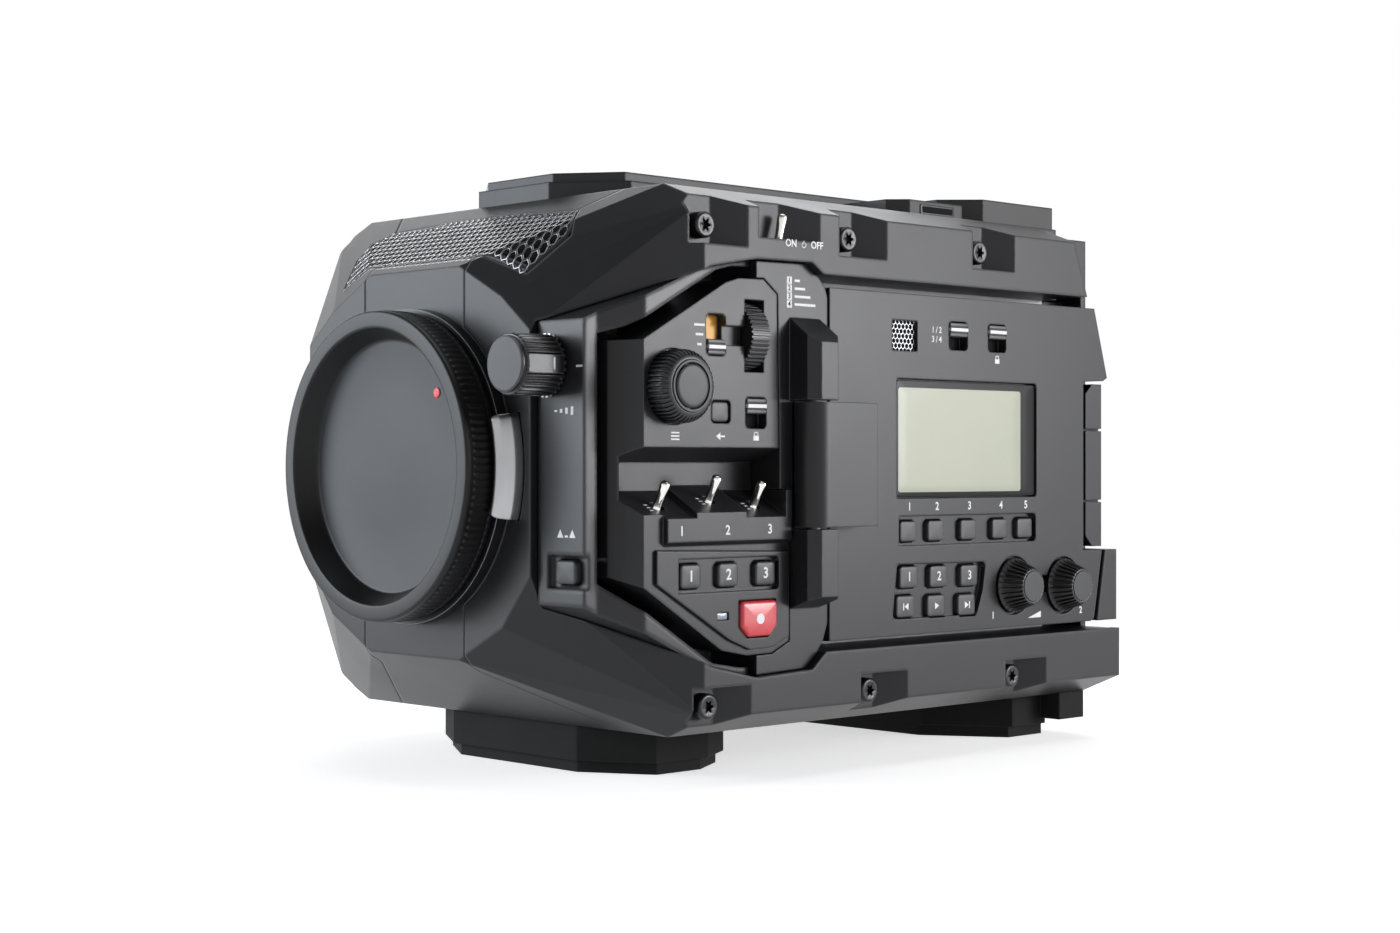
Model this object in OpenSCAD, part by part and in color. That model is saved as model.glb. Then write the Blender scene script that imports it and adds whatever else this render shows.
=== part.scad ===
// Digital cinema camera with a hinged side door, filter wheel and lens cap.
// The lens looks along -Y, the operator's side is +X, and the origin is the
// mouth of the tripod thread in the front foot.

/* [Body] */
// Half width of the body over its side rails
body_half = 72; // [68:0.5:78]
// Height of the deck above the table
body_top = 141; // [138:0.5:148]
// Height of the casing's underside above the table
body_bottom = 12; // [10:0.5:13]
// Distance from the tripod thread forward to the front land
body_front = 51; // [49:0.5:54]
// Distance from the tripod thread back to the ends of the lower rails
body_back = 137.4; // [134:0.2:144]
// Distance from the tripod thread forward to the full section
shoulder = 22; // [20:0.5:24]
// Half width of the front land
front_half = 44.6; // [43:0.2:48]
// Top of the front land
front_top = 122.5; // [120:0.5:128]
// Bottom of the front land
front_bottom = 29; // [26:0.5:32]
// Wall of the magnesium casings
wall = 2.6; // [2:0.1:3.2]
// Height of the lens axis
lens_z = 75; // [73:0.5:77]

/* [Side bay] */
// Lower edge of the recess between the side rails
bay_low = 30.3; // [29:0.1:32]
// Upper edge of the recess between the side rails
bay_high = 121.3; // [120:0.1:124]
// Depth of the recess between the side rails
bay_depth = 18; // [17:0.2:20]
// Depth of the control panel's face behind the rails
panel_sink = 2.5; // [1.5:0.1:3]
// Width of the groove round the control panel
groove = 3; // [2.4:0.1:3.4]

/* [Door] */
// Front edge of the door
door_front = 22; // [21.6:0.1:23]
// Length of the door along its top edge
door_length = 106.6; // [104:0.2:108]
// Bottom edge of the door
door_bottom = 32.5; // [32:0.1:34]
// Height of the door
door_height = 86; // [84:0.5:87]
// Thickness of the door
door_thick = 11.5; // [10.5:0.1:12]
// Depth of the door's face behind the rails
door_sink = 2; // [1.5:0.1:3]
// Radius of the hinge pin
pin_r = 1.5; // [1.2:0.1:1.8]
// Radius of the hinge barrel
barrel_r = 5; // [4.6:0.1:5.2]

/* [Lens mount] */
// Distance from the mount's face to the sensor
flange_distance = 44; // [42:0.5:46]
// Radius of the mount's face
mount_r = 38.2; // [37:0.1:38.4]
// Radius of the mount's throat
throat_r = 27; // [26:0.1:28]
// Radius of the cap's grip ring
cap_r = 37.45; // [36.5:0.05:38]
// Length of the cap in front of the mount
cap_length = 9.2; // [8:0.1:10]
// Depth of the dish in the cap
cap_dish = 5.5; // [4.5:0.1:6]

/* [Filter wheel] */
// Radius of one filter
filter_r = 13.5; // [12.5:0.1:13.8]
// Distance from the wheel's axis to the middle of a filter
filter_orbit = 20; // [19.8:0.1:20.6]
// Radius of the filter knob
nd_knob_r = 7.3; // [6.8:0.1:7.8]
// Teeth on the knob's gear and on the wheel's gear
small_teeth = 20; // [18:1:22]
// Teeth on the idler gear
idler_teeth = 58; // [56:2:60]

/* [Controls] */
// Width of a small key
key_w = 6.3; // [5.8:0.1:6.6]
// Height of a small key
key_h = 5.2; // [4.8:0.1:5.4]
// Travel of a key
key_travel = 0.8; // [0.6:0.05:0.9]
// Radius of the menu dial
dial_r = 8.4; // [8:0.1:8.8]
// Radius of the thumb wheel
wheel_r = 8.2; // [8:0.1:8.4]
// Radius of a volume knob at its base
volume_r = 7.2; // [6.8:0.1:7.4]
// Travel of a slide switch
slide_travel = 3; // [2.6:0.1:3.2]

/* [Fasteners] */
// Radius of the 3/8 inch tripod thread
tripod_r = 4.76; // [4.76:0.01:4.8]
// Radius of a 1/4 inch accessory thread
accessory_r = 3.175; // [3.175:0.005:3.2]
// Radius of the rosette's M6 thread
rosette_thread_r = 3; // [2.9:0.05:3.1]
// Radius of a battery plate thread
battery_thread_r = 1.5; // [1.4:0.1:1.6]
// Radius of a casing screw's head
screw_head_r = 3.1; // [2.8:0.1:3.3]

/* [Hidden] */
$fn = 48;

// Clearances and the overrun of cuts
seam = 0.3;
fit = 0.3;
running = 0.05;
over = 1;
land = 1;

// Outlines as shares of the half width and of the height
front_shares = [[0.40, 1], [0.76, 0.914], [1, 0.824], [1, 0.225], [0.77, 0.091], [0.40, 0]];
body_shares = [[0.81, 1], [1, 0.96], [1, 0.04], [0.83, 0]];

// Plan of the seam between the centre casing and the side casings
seam_front_half = 20;
seam_back_half = 44;
seam_step = 5;

// Points on the side bay as shares of its length and of its height
side_length = body_front + body_back;
bay_height = bay_high - bay_low;
bay_top_shares = [[-0.02, 0.833], [0.167, 0.998], [0.245, 1.026], [0.344, 1.029], [0.366, 1], [1.02, 1]];
bay_bottom_shares = [[1.02, 0], [0.37, 0], [0.344, -0.044], [0.245, -0.052], [0.167, -0.015],
    [-0.02, 0.172]];
cover_shares = [[0.256, -0.1], [0.33, -0.1], [0.377, 0.03], [0.385, 0.074], [0.385, 0.942],
    [0.381, 0.966], [0.338, 1.06], [0.256, 1.06]];

// Depths of the side bay's pieces
door_face = body_half - door_sink;
door_back_x = door_face - door_thick;
panel_face = body_half - panel_sink;
cover_face = door_face - seam - running;
frame_sink = 4.5;
frame_face = body_half - frame_sink;
chassis_half = body_half - bay_depth;
rear_over = 6;
rear_half = chassis_half + rear_over;
bay_floor = chassis_half + seam;

// Control panel's outline: shares of its length and height, then the way each point grows
panel_front = -42.2;
panel_length = 47;
panel_low = 30.7;
panel_height = 88.5;
panel_shares = [[0, 0.823, -1, 0.5], [0.077, 0.824, -0.5, 1], [0.626, 0.984, -0.4, 1],
    [0.717, 0.998, -0.1, 1], [0.891, 1, 0.2, 1], [0.987, 0.962, 0.8, 0.6], [1, 0.551, 1, 0],
    [1, 0.376, 1, 0], [1.072, 0.358, 1, 0.2], [1.072, 0.031, 1, -0.4], [0.949, 0.002, 0.4, -1],
    [0.772, 0, 0, -1], [0.598, 0.018, -0.4, -1], [0.117, 0.18, -0.6, -1], [0, 0.218, -1, -0.5]];
panel_cheek = 8.2;
panel_cheek_y = 3.7;
panel_thick = 11.5;
panel_back = panel_face - panel_thick;
shelf_depth = 9.5;
shelf_floor_low = 64;
shelf_floor_high = 69.4;
shelf_roof_low = 76;
shelf_roof_high = 79.4;
shelf_front = -41;
shelf_back = 2.6;
lip_low = 57.8;
lip_proud = 1.6;
lip_front = -32.5;
lip_back = 7.6;

// Control frame
strip_y = -49;
strip_in = 6.2;
strip_x = frame_face - strip_in;
strip_wall = 3.6;
frame_gap = 0.5;
frame_inner = front_half + frame_gap;
frame_end = -3.3;

// Lens mount, cap and release lever
mount_step = 3;
mount_y = -body_front - mount_step;
sensor_y = mount_y + flange_distance;
bulkhead_back = 5;
bulkhead_y = -body_front + bulkhead_back;
bulkhead_thick = 3.5;
mount_barrel_r = 36;
collar_r = mount_r + seam;
lug_r = 25.2;
lug_low = 0.2;
lug_high = 1.7;
cap_spigot_r = 25;
cap_lug_r = 26.6;
cap_lug_low = 2;
cap_lug_high = 3.1;
lug_angle = 50;
cap_rim = 4.4;
cap_floor_r = 30.5;
cap_skirt = 0.3;
release_in_r = 38.6;
release_out_r = 42.4;
release_angle = 34;
release_front = 2.8;
release_length = 8.3;
release_travel = 2;

// Filter wheel train
wheel_x = 0;
wheel_z = lens_z + filter_orbit;
knob_in = 12.3;
knob_x = strip_x - knob_in;
knob_z = 98;
knob_length = 12;
knob_front = -62;
knob_step = 2;
knob_ribs = 28;
dial_ribs = 40;
wheel_ribs = 44;
rib_depth = 0.45;
spindle_r = 2;
gear_y = -22.6;
gear_thick = 3;
disc_y = -29;
disc_thick = 4;
train_dx = knob_x - wheel_x;
train_dz = knob_z - wheel_z;
train_span = sqrt(train_dx * train_dx + train_dz * train_dz);
train_angle = atan2(train_dz, train_dx);
gear_module = train_span / (small_teeth + idler_teeth);
idler_x = wheel_x + train_dx / 2;
idler_z = wheel_z + train_dz / 2;
backlash = 0.25;
addendum_share = 0.8;
dedendum_share = 1.1;
tip_share = 0.14;
root_share = 0.34;
filter_floor = 1;
middle_y = -18;
bay_wall_x = 40;
bay_wall_z = [54, 71];
bay_floor_half = 28;
bay_floor_z = 38;
middle_thick = 3;

// Hinge
hinge_out = 1;
hinge_x = body_half + hinge_out;
hinge_y = 13.5;
knuckle_proud = 6;
knuckle_front = 5.1;
knuckle_back = 5.4;
knuckle_chamfer = 2.4;
upper_knuckle = [90.9, 110.6];
lower_knuckle = [41, 60];
arm_z = [60.5, 90.4];
arm_reach = 19.5;
arm_out = 5;

// Door outline and places, as shares of its length and height
door_shares = [[0, 1], [1, 1], [1.055, 0.78], [1.038, 0.769], [0.953, 0.765], [0.953, 0.227],
    [1.032, 0.225], [0.999, 0.01], [0.985, 0], [0, 0]];
display_shares = [[0.23, 0.4], [0.76, 0.752]];
display_sink = 2.2;
display_key_shares = [0.276, 0.376, 0.497, 0.618, 0.716];
display_key_share = 0.304;
key_row_shares = [[0.238, 0.262], [0.757, 0.35]];
transport_shares = [[0.278, 0.17], [0.386, 0.168], [0.5, 0.166], [0.266, 0.084], [0.377, 0.081],
    [0.49, 0.078]];
transport_area_shares = [[0.232, 0.21], [0.56, 0.206], [0.548, 0.12], [0.525, 0.047], [0.215, 0.05]];
volume_shares = [[0.67, 0.128], [0.869, 0.12]];
mesh_shares = [[0.214, 0.832], [0.305, 0.922]];
channel_share = [0.455, 0.885];
door_lock_share = [0.603, 0.885];
slot_w = 7.6;
slot_gap = 0.4;
slide_h = 3.6;
slot_h = slide_h + slide_travel + 2 * slot_gap;
recess_depth = 1.6;
key_pocket = 4.4;
key_length = 3;
link_h = 4.6;
touch_shares = [[0.12, 0.14], [0.9, 0.86]];
touch_thick = 1.8;

// Control panel's places, as shares of its length and height
menu_share = [0.277, 0.706];
back_share = [0.594, 0.644];
lock_share = [0.838, 0.643];
level_share = [0.56, 0.845];
level_wheel_share = [0.826, 0.847];
wheel_w = 5.8;
wheel_axle_r = 1.2;
wheel_axle_reach = 2.4;
wheel_proud = 2.6;
dial_face = 6.2;
dial_skirt = 0.4;
dial_grip_h = 5.2;
dial_recess = 1.5;
menu_button_r = 5;
toggle_shares = [0.228, 0.574, 0.889];
toggle_r = 0.9;
toggle_ball_r = 1.6;
toggle_length = 6.2;
toggle_tip_share = 1.35;
toggle_in = 3.3;
toggle_x = panel_face - toggle_in;
record_shares = [[0.15, 0.285], [1.055, 0.272], [1.055, 0.045], [0.94, 0.018], [0.78, 0.016],
    [0.64, 0.045], [0.15, 0.2]];
record_thick = 4;
record_proud = 0.9;
function_shares = [0.379, 0.634, 0.894];
function_share = 0.216;
function_area_shares = [[0.29, 0.172], [0.985, 0.262]];
record_key = [11.9, 8.4];
record_key_share = [0.83, 0.097];
record_chamfer = 2.4;
led_share = [0.59, 0.108];
led_size = [3.7, 1.8];

// White balance key in the strip
balance_in = 6.3;
balance_x = strip_x - balance_in;
balance_z = 51.1;
balance_w = 7;
balance_h = 5.4;
balance_recess = [13, 7.6];
balance_sink = 1.4;

// Side rails and their screws, as shares of the side's length
upper_screw_shares = [0.17, 0.428, 0.696];
lower_screw_shares = [0.175, 0.469, 0.767];
upper_screw_drop = 10.2;
lower_screw_rise = 7.5;
pocket_depth = 5.6;
pocket_front = 5.6;
pocket_back = 4;
pocket_slope = 7.5;
pocket_lip = 4.6;
boss_wall = 2.4;
screw_head_h = 3;
screw_shank_r = 1.5;
screw_shank = 14;
screw_socket_r = 1.5;
screw_socket = 1.6;
rail_cut_in = 1.4;
rail_cut_x = rear_half - rail_cut_in;
rail_cut_shares = [[0.894, 2], [0.894, 1.15], [0.924, 0.99], [2, 0.99], [2, 2]];
ledge = 2.6;
power_y = 4.8;
power_drop = 10.4;
power_front = 8.2;
power_back = 3;
power_slope = 9.5;
power_lean = 14;
power_in = 3;

// Microphone grille's plan
mic_plan_shares = [[0.42, 0.12], [0.84, 0.19], [0.97, 0.48], [0.84, 0.72], [0.3, 0.78]];
mic_thick = 1.4;

// Deck pieces
plate_h = 7;
plate_step = 2.4;
plate_bevel = 2.2;
plate_front = -20;
plate_back = 89;
plate_nose = 14;
plate_half = 30;
plate_shoulder = -7;
audio_half = 50;
audio_front = 70;
audio_mid = 96;
audio_low_h = 5;
audio_h = 7.4;
audio_corner = 9;

// Feet
sole_h = 3;
sole_in = 1.4;
front_foot_plan = [[24.6, -20], [42, -9.5], [42, 8], [35, 20]];
rear_foot_plan = [[32.7, 99.7], [53.5, 113.4], [53.5, 128], [40, 137]];
rear_block_half = rear_half;
rear_block_front = 126;
rear_block_z = 4.6;
tripod_depth = 9;
rear_thread_y = 118;

// Rear panel
chassis_end = 126;
rear_y = 138;
rear_plate = 2.2;
ledge_end = rear_y - rear_plate - seam;
rear_plug_half = chassis_half - land;
corner_z = 32.5;
corner_top = 52;
corner_front_top = 133.6;
corner_front_low = 130;
corner_back = 138.8;
port_z = [53, 98];
port_front = 125.5;
port_back = 132.6;
port_sink = 0.6;
port_face = door_face - port_sink;
port_thick = 4.2;
port_splits = [65.5, 85.1];
port_gap = 0.6;
battery_half = 34;
battery_z = [44, 108];
battery_h = 5;
battery_hole_x = 26;
battery_hole_z = [52, 100];
battery_hole_depth = 4;

// Right side and inside
rosette_y = 40;
rosette_r = 15.9;
rosette_h = 2.4;
rosette_inner_r = 8;
vent_y = 86;
vent_rows = 9;
vent_pitch = 5.4;
vent_h = 2.6;
vent_half = 24;
flange_wide = 16;
flange_in = chassis_half - flange_wide;
flange_over = 2;
flange_half = chassis_half + flange_over;
chassis_wall = 4;
chassis_top = body_top - wall - seam;
chassis_bottom = body_bottom + wall + seam;
deck_plate = 4;
board_x = -24;
board_thick = 1.6;
board_short = 10;
sink_depth = 10;
fan_r = 22;
fan_hub_r = 7;
fan_blades = 7;
fan_depth = 9;
fan_z = 75;
fan_gap = 2;
fan_blade = 1;
blade_angle = 35;
sensor_half = 20;
sensor_rise = 15;
sensor_back = 2;
sensor_rim = 1;
aperture_half = 16;
aperture_rise = 9;

// A polygon of X and Z points, run along Y
module xz_block(points, y0, y1)
    translate([0, y1, 0]) rotate([90, 0, 0]) linear_extrude(y1 - y0) polygon(points);

// A polygon of Y and Z points, run along X
module yz_block(points, x0, x1)
    translate([x0, 0, 0]) rotate([90, 0, 90]) linear_extrude(x1 - x0) polygon(points);

// A polygon of X and Y points, run along Z
module xy_block(points, z0, z1)
    translate([0, 0, z0]) linear_extrude(z1 - z0) polygon(points);

// A block from its low corner to its high corner
module block(low, high)
    translate(low) cube(high - low);

// Round bars along each axis
module bar_x(x0, x1, y, z, r)
    translate([x0, y, z]) rotate([0, 90, 0]) cylinder(r = r, h = x1 - x0);

module bar_y(y0, y1, x, z, r)
    translate([x, y1, z]) rotate([90, 0, 0]) cylinder(r = r, h = y1 - y0);

module bar_z(z0, z1, x, y, r)
    translate([x, y, z0]) cylinder(r = r, h = z1 - z0);

// The same shape on both sides of the body
module both_sides() {
    children();
    mirror([1, 0, 0]) children();
}

// Points of one side followed by their mirror points
function mirrored(points) =
    concat(points, [for (i = [len(points) - 1 : -1 : 0]) [-points[i][0], points[i][1]]]);

function section(shares, half, low, high) =
    mirrored([for (p = shares) [p[0] * half, low + p[1] * (high - low)]]);

function side_point(p) = [-body_front + p[0] * side_length, bay_low + p[1] * bay_height];

function door_point(p) = [door_front + p[0] * door_length, door_bottom + p[1] * door_height];

function panel_point(p) = [panel_front + p[0] * panel_length, panel_low + p[1] * panel_height];

function panel_grown(g) =
    [for (p = panel_shares) panel_point(p) + g * [p[2], p[3]]];

function bay_points(g) = concat(
    [for (p = bay_top_shares) side_point(p) - [0, g]],
    [for (p = bay_bottom_shares) side_point(p) + [0, g]]);

// Corners of a rectangle in a plane, from two opposite points
function rectangle(a, b) = [[a[0], a[1]], [b[0], a[1]], [b[0], b[1]], [a[0], b[1]]];

// A rectangle with cut corners round a middle point
function key_points(c, w, h, cut) = [[c[0] - w / 2 + cut, c[1] - h / 2],
    [c[0] + w / 2 - cut, c[1] - h / 2],
    [c[0] + w / 2, c[1] - h / 2 + cut], [c[0] + w / 2, c[1] + h / 2 - cut],
    [c[0] + w / 2 - cut, c[1] + h / 2], [c[0] - w / 2 + cut, c[1] + h / 2],
    [c[0] - w / 2, c[1] + h / 2 - cut], [c[0] - w / 2, c[1] - h / 2 + cut]];

key_cut = 0.7;

// The outer form of the casings, taken in by an inset
module envelope(inset) {
    end = inset > 0 ? body_back + over : body_back;
    hull() {
        xz_block(section(front_shares, front_half - inset, front_bottom + inset, front_top - inset),
            inset - body_front, inset - body_front + land);
        xz_block(section(body_shares, body_half - inset, body_bottom + inset, body_top - inset),
            -shoulder, end);
    }
}

// Column of the centre casing in plan
module centre_column(g)
    xy_block(mirrored([[seam_front_half + g, -body_front - over],
        [seam_front_half + g, seam_step - body_front],
        [seam_back_half + g, -shoulder], [seam_back_half + g, body_back + 2 * over]]), -over,
            body_top + over);

// Grille's outline in plan: shares of the seam's half width and of the front slope's length
function mic_plan(g) = mirrored([for (p = mic_plan_shares)
    [p[0] * seam_back_half, -body_front + p[1] * (body_front - shoulder)] + g * [1,
        p[1] > 0.5 ? 1 : -1]]);

module casing_colour() color([0.14, 0.14, 0.15]) children();

// Seat of the grille, which follows the slopes and leaves a floor
module mic_pocket() difference() {
    xy_block(mic_plan(seam), lens_z, body_top + over);
    envelope(mic_thick);
}

module centre_shell() casing_colour() difference() {
    envelope(0);
    envelope(wall);
    difference() {
        block([-2 * body_half, -body_front - over, -over], [2 * body_half, body_back + 2 * over,
            body_top + over]);
        centre_column(0);
        bar_y(-body_front - over, wall + over - body_front, 0, lens_z, collar_r);
    }
    bar_y(-body_front - over, wall + over - body_front, 0, lens_z, mount_barrel_r + seam);
    mic_pocket();
    release_space(fit);
}

// Scoops for the casing screws: plan polygon round a screw, open over the rail's edge
module screw_scoop(y, low, high)
    xy_block([[body_half - pocket_depth, y - pocket_lip], [body_half - pocket_depth, y + pocket_back],
        [body_half + over, y + pocket_back + pocket_slope + over], [body_half + over,
            y - pocket_front - over]],
        low, high);

upper_screw_z = body_top - upper_screw_drop;
lower_screw_z = body_bottom + lower_screw_rise;
function screw_y(share) = -body_front + share * side_length;

module screw_scoops() {
    for (s = upper_screw_shares) screw_scoop(screw_y(s), upper_screw_z - pocket_lip, body_top + over);
    for (s = lower_screw_shares) screw_scoop(screw_y(s), body_bottom - over, lower_screw_z + pocket_lip);
}

// Thick places of the casing round the scoops
module screw_bosses() {
    x0 = body_half - pocket_depth - boss_wall;
    for (s = upper_screw_shares)
        block([x0, screw_y(s) - pocket_front - boss_wall, upper_screw_z - pocket_lip - boss_wall],
            [body_half + over, screw_y(s) + pocket_back + pocket_slope + boss_wall, body_top + over]);
    for (s = lower_screw_shares)
        block([x0, screw_y(s) - pocket_front - boss_wall, body_bottom - over],
            [body_half + over, screw_y(s) + pocket_back + pocket_slope + boss_wall,
            lower_screw_z + pocket_lip + boss_wall]);
}

// Bores of the casing screws, outward from a plane
module screw_bores(x) {
    for (s = upper_screw_shares) bar_x(x, body_half, screw_y(s), upper_screw_z, screw_shank_r + running);
    for (s = lower_screw_shares) bar_x(x, body_half, screw_y(s), lower_screw_z, screw_shank_r + running);
}

// One side casing, on the operator's side
module side_casing() difference() {
    envelope(0);
    difference() {
        envelope(wall);
        screw_bosses();
        block([chassis_half + seam, -shoulder, bay_high], [body_half, ledge_end, bay_high + ledge]);
        block([chassis_half + seam, -shoulder, bay_low - ledge], [body_half, ledge_end, bay_low]);
        children();
    }
    centre_column(seam);
    block([-2 * body_half, -body_front - over, -over], [0, body_back + 2 * over, body_top + over]);
    screw_scoops();
    screw_bores(0);
    bar_y(-body_front - over, wall + over - body_front, 0, lens_z, collar_r + seam);
    mic_pocket();
}

power_ledge = body_top - power_drop - 2 * toggle_r;
power_x = body_half - power_in;
module power_scoop()
    xy_block([[body_half - pocket_depth, power_y - power_front],
        [body_half - pocket_depth, power_y + power_back],
        [body_half + over, power_y + power_back + power_slope + over], [body_half + over,
            power_y - power_front - over]],
        power_ledge, body_top + over);

module left_shell() casing_colour() difference() {
    side_casing()
        block([body_half - pocket_depth - boss_wall, power_y - power_front - boss_wall, bay_high],
            [body_half + over, power_y + power_back + power_slope + boss_wall, body_top + over]);
    yz_block(bay_points(0), front_half, body_half + over);
    yz_block([for (p = rail_cut_shares) side_point(p)], rail_cut_x, body_half + over);
    block([seam_back_half, chassis_end + seam, lens_z], [rail_cut_x + over, body_back + over,
        body_top + over]);
    power_scoop();
    toggle_socket(power_x, power_y, power_ledge, 0);
    release_space(fit);
    bar_y(-body_front - over, knob_front + knob_length + fit, knob_x, knob_z, nd_knob_r + fit);
}

module right_shell() casing_colour() difference() {
    mirror([1, 0, 0]) side_casing();
    for (i = [0 : vent_rows - 1]) let (z = fan_z + (i - (vent_rows - 1) / 2) * vent_pitch)
        block([-body_half - over, vent_y - vent_half, z - vent_h / 2],
            [over - body_half + wall, vent_y + vent_half, z + vent_h / 2]);
    bar_x(-body_half - over, wall + over - body_half, rosette_y, lens_z, rosette_r + seam);
}

module mic_grille() color([0.2, 0.2, 0.21]) intersection() {
    difference() {
        envelope(0);
        envelope(mic_thick);
    }
    xy_block(mic_plan(0), lens_z, body_top + over);
}

// A sector of a ring about the lens axis, in front of the body
module ring_sector(r_in, r_out, y0, y1, middle, angle) intersection() {
    difference() {
        bar_y(y0, y1, 0, lens_z, r_out);
        bar_y(y0 - over, y1 + over, 0, lens_z, r_in);
    }
    translate([0, 0, lens_z]) xz_block(concat([[0, 0]], [for (a = [-angle / 2, 0, angle / 2])
        2 * r_out * [cos(middle + a), sin(middle + a)]]), y0 - over, y1 + over);
}

module release_space(g)
    ring_sector(release_in_r - g, release_out_r + g, mount_y - release_front - g,
        mount_y - release_front + release_length + release_travel + g, 0, release_angle + 2 * g);

module lens_mount() color([0.62, 0.63, 0.65]) {
    difference() {
        union() {
            bar_y(mount_y, -body_front, 0, lens_z, mount_r);
            bar_y(-body_front - over / 2, bulkhead_y, 0, lens_z, mount_barrel_r);
        }
        bar_y(mount_y - over, bulkhead_y + over, 0, lens_z, throat_r);
    }
    for (i = [0 : 2]) ring_sector(lug_r, throat_r + over / 2, mount_y + lug_low, mount_y + lug_high,
        90 + 120 * i, lug_angle);
}

module body_cap() color([0.07, 0.07, 0.075]) {
    translate([0, mount_y - cap_skirt, lens_z]) rotate([90, 0, 0]) rotate_extrude($fn = 96) polygon([
        [0, 0], [cap_r, 0], [cap_r, cap_length - land], [cap_r - land, cap_length],
        [cap_r - cap_rim, cap_length], [cap_floor_r, cap_length - cap_dish], [0, cap_length - cap_dish]]);
    bar_y(mount_y - cap_skirt - over / 2, mount_y + cap_lug_high, 0, lens_z, cap_spigot_r);
    for (i = [0 : 2]) ring_sector(cap_spigot_r - over, cap_lug_r, mount_y + cap_lug_low,
        mount_y + cap_lug_high,
        90 + 120 * i, lug_angle);
}

module lens_release() color([0.75, 0.75, 0.77])
    ring_sector(release_in_r, release_out_r, mount_y - release_front,
        mount_y - release_front + release_length,
        0, release_angle);

// Gear of trapezoid teeth, with a tooth or a gap toward its mate
function gear_points(teeth, phase) = let (
    pitch_r = gear_module * teeth / 2,
    tip_r = pitch_r + gear_module * addendum_share,
    root_r = pitch_r - gear_module * dedendum_share,
    step = 360 / teeth,
    loss = backlash / pitch_r * 90 / PI)
    [for (i = [0 : teeth - 1]) for (k = [[-root_share, root_r], [-tip_share, tip_r],
        [tip_share, tip_r], [root_share, root_r]])
        let (a = phase + step * (i + k[0]) - (k[0] > 0 ? loss : -loss)) [k[1] * cos(a), k[1] * sin(a)]];

module gear(teeth, phase, x, z)
    translate([x, 0, z]) xz_block(gear_points(teeth, phase), gear_y, gear_y + gear_thick);

// Outline of a grip with ribs round its middle point
function ribbed(r, ribs, cx, cz) = [for (i = [0 : ribs - 1])
    for (k = [[0, 0], [0.5, 0], [0.5, 1], [1, 1]])
    let (a = 360 * (i + k[0]) / ribs) [cx, cz] + (r - rib_depth * k[1]) * [cos(a), sin(a)]];

module nd_knob() color([0.1, 0.1, 0.105]) {
    xz_block(ribbed(nd_knob_r, knob_ribs, knob_x, knob_z), knob_front + land, knob_front + knob_length);
    bar_y(knob_front, knob_front + knob_step, knob_x, knob_z, nd_knob_r - land);
    bar_y(knob_front + knob_length - over, middle_y + middle_thick - over, knob_x, knob_z, spindle_r);
    gear(small_teeth, 180 + train_angle, knob_x, knob_z);
}

module nd_idler_gear() color([0.85, 0.84, 0.78]) difference() {
    gear(idler_teeth, train_angle + 180 / idler_teeth, idler_x, idler_z);
    bar_y(gear_y - over, gear_y + gear_thick + over, idler_x, idler_z, spindle_r + running);
}

module nd_filter_wheel() color([0.3, 0.3, 0.32]) difference() {
    union() {
        bar_y(disc_y, disc_y + disc_thick, wheel_x, wheel_z, filter_orbit + filter_r + land);
        bar_y(disc_y + disc_thick - over, gear_y + over, wheel_x, wheel_z, 2 * spindle_r);
        gear(small_teeth, train_angle, wheel_x, wheel_z);
    }
    bar_y(disc_y - over, gear_y + gear_thick + over, wheel_x, wheel_z, spindle_r + running);
    for (a = [0 : 90 : 270])
        bar_y(disc_y - over, disc_y + disc_thick + (a == 0 ? over : -filter_floor),
            wheel_x + filter_orbit * sin(a), wheel_z - filter_orbit * cos(a), filter_r);
}

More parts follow.
